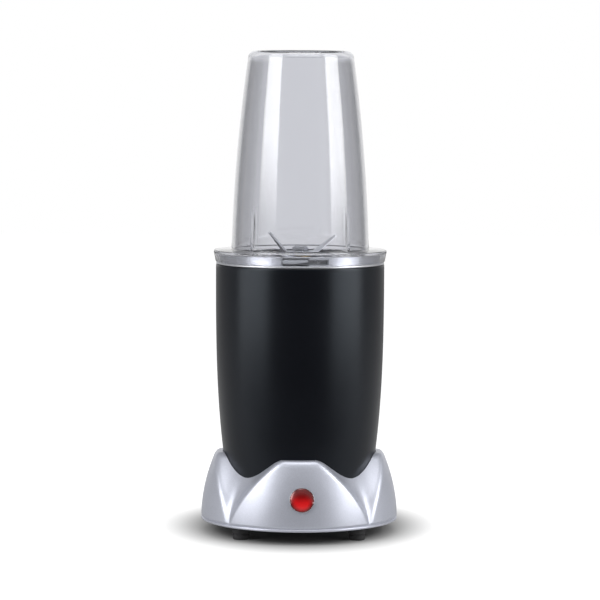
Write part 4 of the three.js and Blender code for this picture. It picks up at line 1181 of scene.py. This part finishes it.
def build_rib(angle):
    """An upright blending rib: a soft ridge on the wall's inside that dies away at its top."""
    sections = []
    for share in spread(0, 1, 16):
        z = FLANGE_TOP_Z + RIB_SUNK + RIB_HEIGHT * share
        wall = cup_radius(z) - CUP_WALL
        fade = max(share - RIB_FADE, 0) / (1 - RIB_FADE)
        proud = (RIB_PROUD + RIB_SUNK) * (1 - fade**1.6) - RIB_SUNK
        ridge = spread(-QUARTER, QUARTER, 11)
        section = [(wall - proud * cos(a), RIB_HALF * sin(a)) for a in ridge]
        section += [(wall + 1.0, RIB_HALF), (wall + 1.0, -RIB_HALF)]
        sections.append([(x, y, z) for x, y in section])
    return place(lofted(sections), turn(angle))


# ---------- Assembly


def dress(obj, finish):
    obj.data.materials.clear()
    obj.data.materials.append(FINISHES[finish])


def finish_piece(obj, name, finish, body, *nodes, slot=None):
    """Dresses a piece, sets it on its body, and hides the nodes it stands for."""
    obj.name = name
    obj.data.name = name
    dress(obj, finish)
    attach(obj, body)
    if nodes:
        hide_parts(*nodes)


def add_base():
    finish_piece(build_crown(), "crown", "silver_painted", "base", "base_skirt")
    finish_piece(build_gland(), "gland", "black_rubber", "base", "cord_gland")
    lens, bezel = build_badge()
    finish_piece(lens, "badge_lens", "red_gloss", "base", "badge")
    finish_piece(bezel, "badge_bezel", "bright_silver", "base", slot="silver_painted")
    masters = (
        (build_foot(), "foot", "black_rubber", "rubber_foot"),
        (build_screw(), "screw", "steel", "base_screw"),
    )
    for i in range(1, 5):
        for master, name, finish, node in masters:
            made = place(copy_of(master), shift(*spot(f"{node}_{i}")))
            finish_piece(made, f"{name}_{i}", finish, "base", f"{node}_{i}")
    for master, *_ in masters:
        bpy.data.objects.remove(master)


def add_body():
    finish_piece(build_barrel(), "barrel", "black_satin", "base", "barrel_housing")
    ring = build_ring()
    finish_piece(ring, "ring", "bright_silver", "base", "bayonet_ring", slot="silver_painted")
    finish_piece(build_well(), "well", "dark_plastic", "base", "well_insert")
    for i in range(1, TABS + 1):
        body, node = f"pin_{i}", f"activator_pin_{i}"
        finish_piece(build_pin(node), f"{body}_plunger", "grey_plastic", body, node)
        node = f"pin_spring_{i}"
        spring = build_pin_spring(node)
        finish_piece(spring, f"{body}_spring", "steel", "base", node)
        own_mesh(spring)


def add_blade_unit():
    finish_piece(build_holder(), "holder", "grey_plastic", "blade_unit", "blade_holder")
    finish_piece(build_gasket(), "gasket", "grey_rubber", "blade_unit", "gasket_ring")
    finish_piece(build_sleeve(), "sleeve", "sleeve_brass", "blade_unit", "sleeve_bearing")
    finish_piece(build_spindle(), "spindle", "steel", "blades", "blade_spindle")
    z = high("sleeve_bearing").z + GAP
    lower = build_blade(*LOWER_BLADE, z)
    finish_piece(lower, "blade_low", "blade_steel", "blades", "lower_blade", slot="steel")
    z += BLADE_THICKNESS + GAP
    upper = build_blade(*UPPER_BLADE, z)
    finish_piece(upper, "blade_high", "blade_steel", "blades", "upper_blade", slot="steel")
    finish_piece(build_nut(), "nut", "steel", "blades", "blade_nut")


def add_cup():
    finish_piece(build_cup(), "clear_cup", "clear_plastic", "cup", "cup")
    tabs = merge([build_tab(a) for a in around(TABS, FIRST_NOTCH)])
    finish_piece(tabs, "cup_tabs", "frosted_plastic", "cup", slot="clear_plastic")


add_base()
add_body()
add_blade_unit()
add_cup()

# The pieces that stay as the solids have them, by finish.
KEPT = {
    "dark_plastic": ["bottom_plate", "switch_body", "cooling_fan", "driven_coupling"],
    "grey_plastic": ["switch_button", "brush_holder_front", "brush_holder_rear"],
    "grey_rubber": ["shaft_seal", *(f"motor_damper_{i}" for i in range(1, 5))],
    "steel": [
        "lower_bracket", "upper_bracket", "lower_bearing", "upper_bearing", "motor_bolt_1",
        "motor_bolt_2", "motor_shaft", "drive_coupling", "brush_spring_front", "brush_spring_rear",
    ],
    "laminations": ["stator_core", "armature_core"],
    "copper_wire": [
        "field_coil_left", "field_coil_right", "winding_lower", "winding_upper", "commutator",
    ],
    "carbon": ["carbon_brush_front", "carbon_brush_rear"],
}
for finish_name, names in KEPT.items():
    for name in names:
        dress(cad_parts[name], finish_name)

# ---------- Camera, lights, floor

CAMERA_PLACE = Vector((0.0, -1.957, 0.317))
AIM = Vector((0.0, 0.0, 0.1665))
CAMERA_ROLL = radians(0.26)
LENS = 164.2
# The floor's painted soft shadow: an oval a little behind the axis where its glow is held back,
# its half sizes in metres, and where the glow starts and stops fading in as a share of them.
SHADOW_CENTRE = 0.025
SHADOW_HALF = (0.080, 0.108)
SHADOW_REACH = (0.72, 1.36)
FLOOR_GLOW = 0.9
# Painted shade: how much darker the floor looks to the camera than in the light it bounces.
FLOOR_SHADE = 0.8
FLOOR_DIM = 0.06
FLOOR_BEHIND = 0.5
AMBIENT = 0.5
# How bright the room is from straight in front, through the sides at 0.5, to straight behind.
ROOM = (
    (0.05, 0.015), (0.19, 0.6), (0.44, 0.8), (0.51, 0.14),
    (0.6, 0.14), (0.7, 0.55), (0.84, 0.2), (0.96, 1.0),
)
LAMP_DISTANCE = 1.5
LIGHT_BOUNCES = 16


def face_to(obj, point):
    obj.rotation_euler = (point - obj.location).to_track_quat("-Z", "Y").to_euler()


def add_camera():
    data = bpy.data.cameras.new("camera")
    data.lens = LENS
    data.sensor_width = 36
    camera = add_object("camera", data)
    camera.location = CAMERA_PLACE
    face_to(camera, AIM)
    camera.rotation_euler.rotate_axis("Z", CAMERA_ROLL)
    bpy.context.scene.camera = camera


def add_lamp(name, azimuth, distance, height, width, tall, power, fade=0.0):
    """A lit panel that faces the axis; azimuth 0 is the front. fade dims its lower part."""
    data = bpy.data.lights.new(name, "AREA")
    data.shape = "RECTANGLE"
    data.size = width
    data.size_y = tall
    data.energy = power
    lamp = add_object(name, data)
    lamp.location = (distance * sin(azimuth), -distance * cos(azimuth), height)
    face_to(lamp, Vector((0, 0, height if height < 1.2 else 0.18)))
    lamp.visible_camera = False
    if fade:
        data.use_nodes = True
        g = Graph(data.node_tree)
        split = g.add("SeparateXYZ")
        g.link(g.add("NewGeometry").outputs["Parametric"], split.inputs[0])
        level = g.rescale(split.outputs["Y"], 0.0, 1.0, 0.0, fade, "SMOOTHSTEP")
        g.link(level, data.node_tree.nodes["Emission"].inputs["Strength"])
    return lamp


def ray_kinds(g):
    """(one for camera and transmission rays, one for rays that glossy surfaces reflect)."""
    path = g.add("LightPath")
    direct = g.math("MAXIMUM", path.outputs["Is Camera Ray"], path.outputs["Is Transmission Ray"])
    reflected = g.math("MULTIPLY", path.outputs["Is Glossy Ray"], g.math("SUBTRACT", 1.0, direct))
    return direct, reflected


def add_floor():
    """A pale floor with a painted shadow near the object; past it, its glow runs into the backdrop.
    """
    deselect()
    bpy.ops.mesh.primitive_plane_add(size=8, location=(0, 0, 0))
    floor = bpy.context.object
    floor.name = "floor"
    made = Finish("pale_floor", (0.8, 0.8, 0.8), 0.9, Specular_IOR_Level=0.1)
    g = made.graph
    direct, reflected = ray_kinds(g)
    near = g.rescale(g.along("Y"), 1.0, FLOOR_BEHIND, -0.25, -0.08, "SMOOTHSTEP")
    # Painted shade: straight on, the floor is darker than the light it bounces.
    seen = g.math("MULTIPLY", direct, FLOOR_SHADE)
    made.tone(g.math("MAXIMUM", g.math("MULTIPLY", near, reflected), seen), 1.0, FLOOR_DIM)
    wide, deep = SHADOW_HALF
    # The glow fades out in an oval round the object, leaving a painted shadow there.
    oval = g.scaled_place((1 / wide, 1 / deep, 0), (0, -SHADOW_CENTRE / deep, 0))
    reach = g.add("VectorMath", operation="LENGTH")
    g.link(oval, reach.inputs[0])
    glow = g.add("Emission")
    fade = g.rescale(reach.outputs["Value"], 0.0, FLOOR_GLOW, *SHADOW_REACH, "SMOOTHSTEP")
    g.link(g.math("MULTIPLY", fade, direct), glow.inputs["Strength"])
    both = g.add("AddShader")
    g.link(made.shader.outputs[0], both.inputs[0])
    g.link(glow.outputs[0], both.inputs[1])
    g.link(both.outputs[0], made.material.node_tree.nodes["Material Output"].inputs["Surface"])
    floor.data.materials.append(made.material)


def light_world():
    """White behind the object, plain grey light, and a dim room in front for gloss to show."""
    world = bpy.data.worlds.new("studio")
    bpy.context.scene.world = world
    world.use_nodes = True
    g = Graph(world.node_tree)
    background = world.node_tree.nodes["Background"]
    direct, reflected = ray_kinds(g)
    way = g.add("SeparateXYZ")
    g.link(g.add("TexCoord").outputs["Generated"], way.inputs[0])
    ramp = g.add("ValToRGB")
    g.link(g.rescale(way.outputs["Y"], 0.0, 1.0, start=-1.0), ramp.inputs[0])
    walls = ramp.color_ramp
    walls.interpolation = "EASE"
    while len(walls.elements) < len(ROOM):
        walls.elements.new(0.5)
    for element, (place_at, level) in zip(walls.elements, ROOM):
        element.position = place_at
        element.color = (level, level, level, 1)
    room = g.math("SUBTRACT", ramp.outputs[0], AMBIENT)
    shown = g.math("ADD", g.math("MULTIPLY", room, reflected), g.rescale(direct, AMBIENT, 1.0))
    background.inputs["Color"].default_value = (1, 1, 1, 1)
    g.link(shown, background.inputs["Strength"])


def add_lamps():
    """A tall box at each side, a low strip under each for the crown, and a box overhead."""
    boxes = (("left_box", radians(-58), 0.91), ("right_box", radians(70), 0.84))
    for name, azimuth, height in boxes:
        add_lamp(name, azimuth, LAMP_DISTANCE, height, width=0.87, tall=1.4, power=25, fade=0.24)
    for side in (-1, 1):
        place_at = (side * radians(66), LAMP_DISTANCE, 0.09)
        strip = add_lamp(f"low_strip_{side}", *place_at, width=1.25, tall=0.16, power=2.6)
        strip.visible_transmission = False
    add_lamp("top_box", radians(10), 0.4, 1.6, width=1.2, tall=0.9, power=10)


add_camera()
add_lamps()
add_floor()
light_world()
bpy.context.scene.view_settings.view_transform = "Standard"
for limit in ("max_bounces", "glossy_bounces", "transmission_bounces"):
    setattr(bpy.context.scene.cycles, limit, LIGHT_BOUNCES)
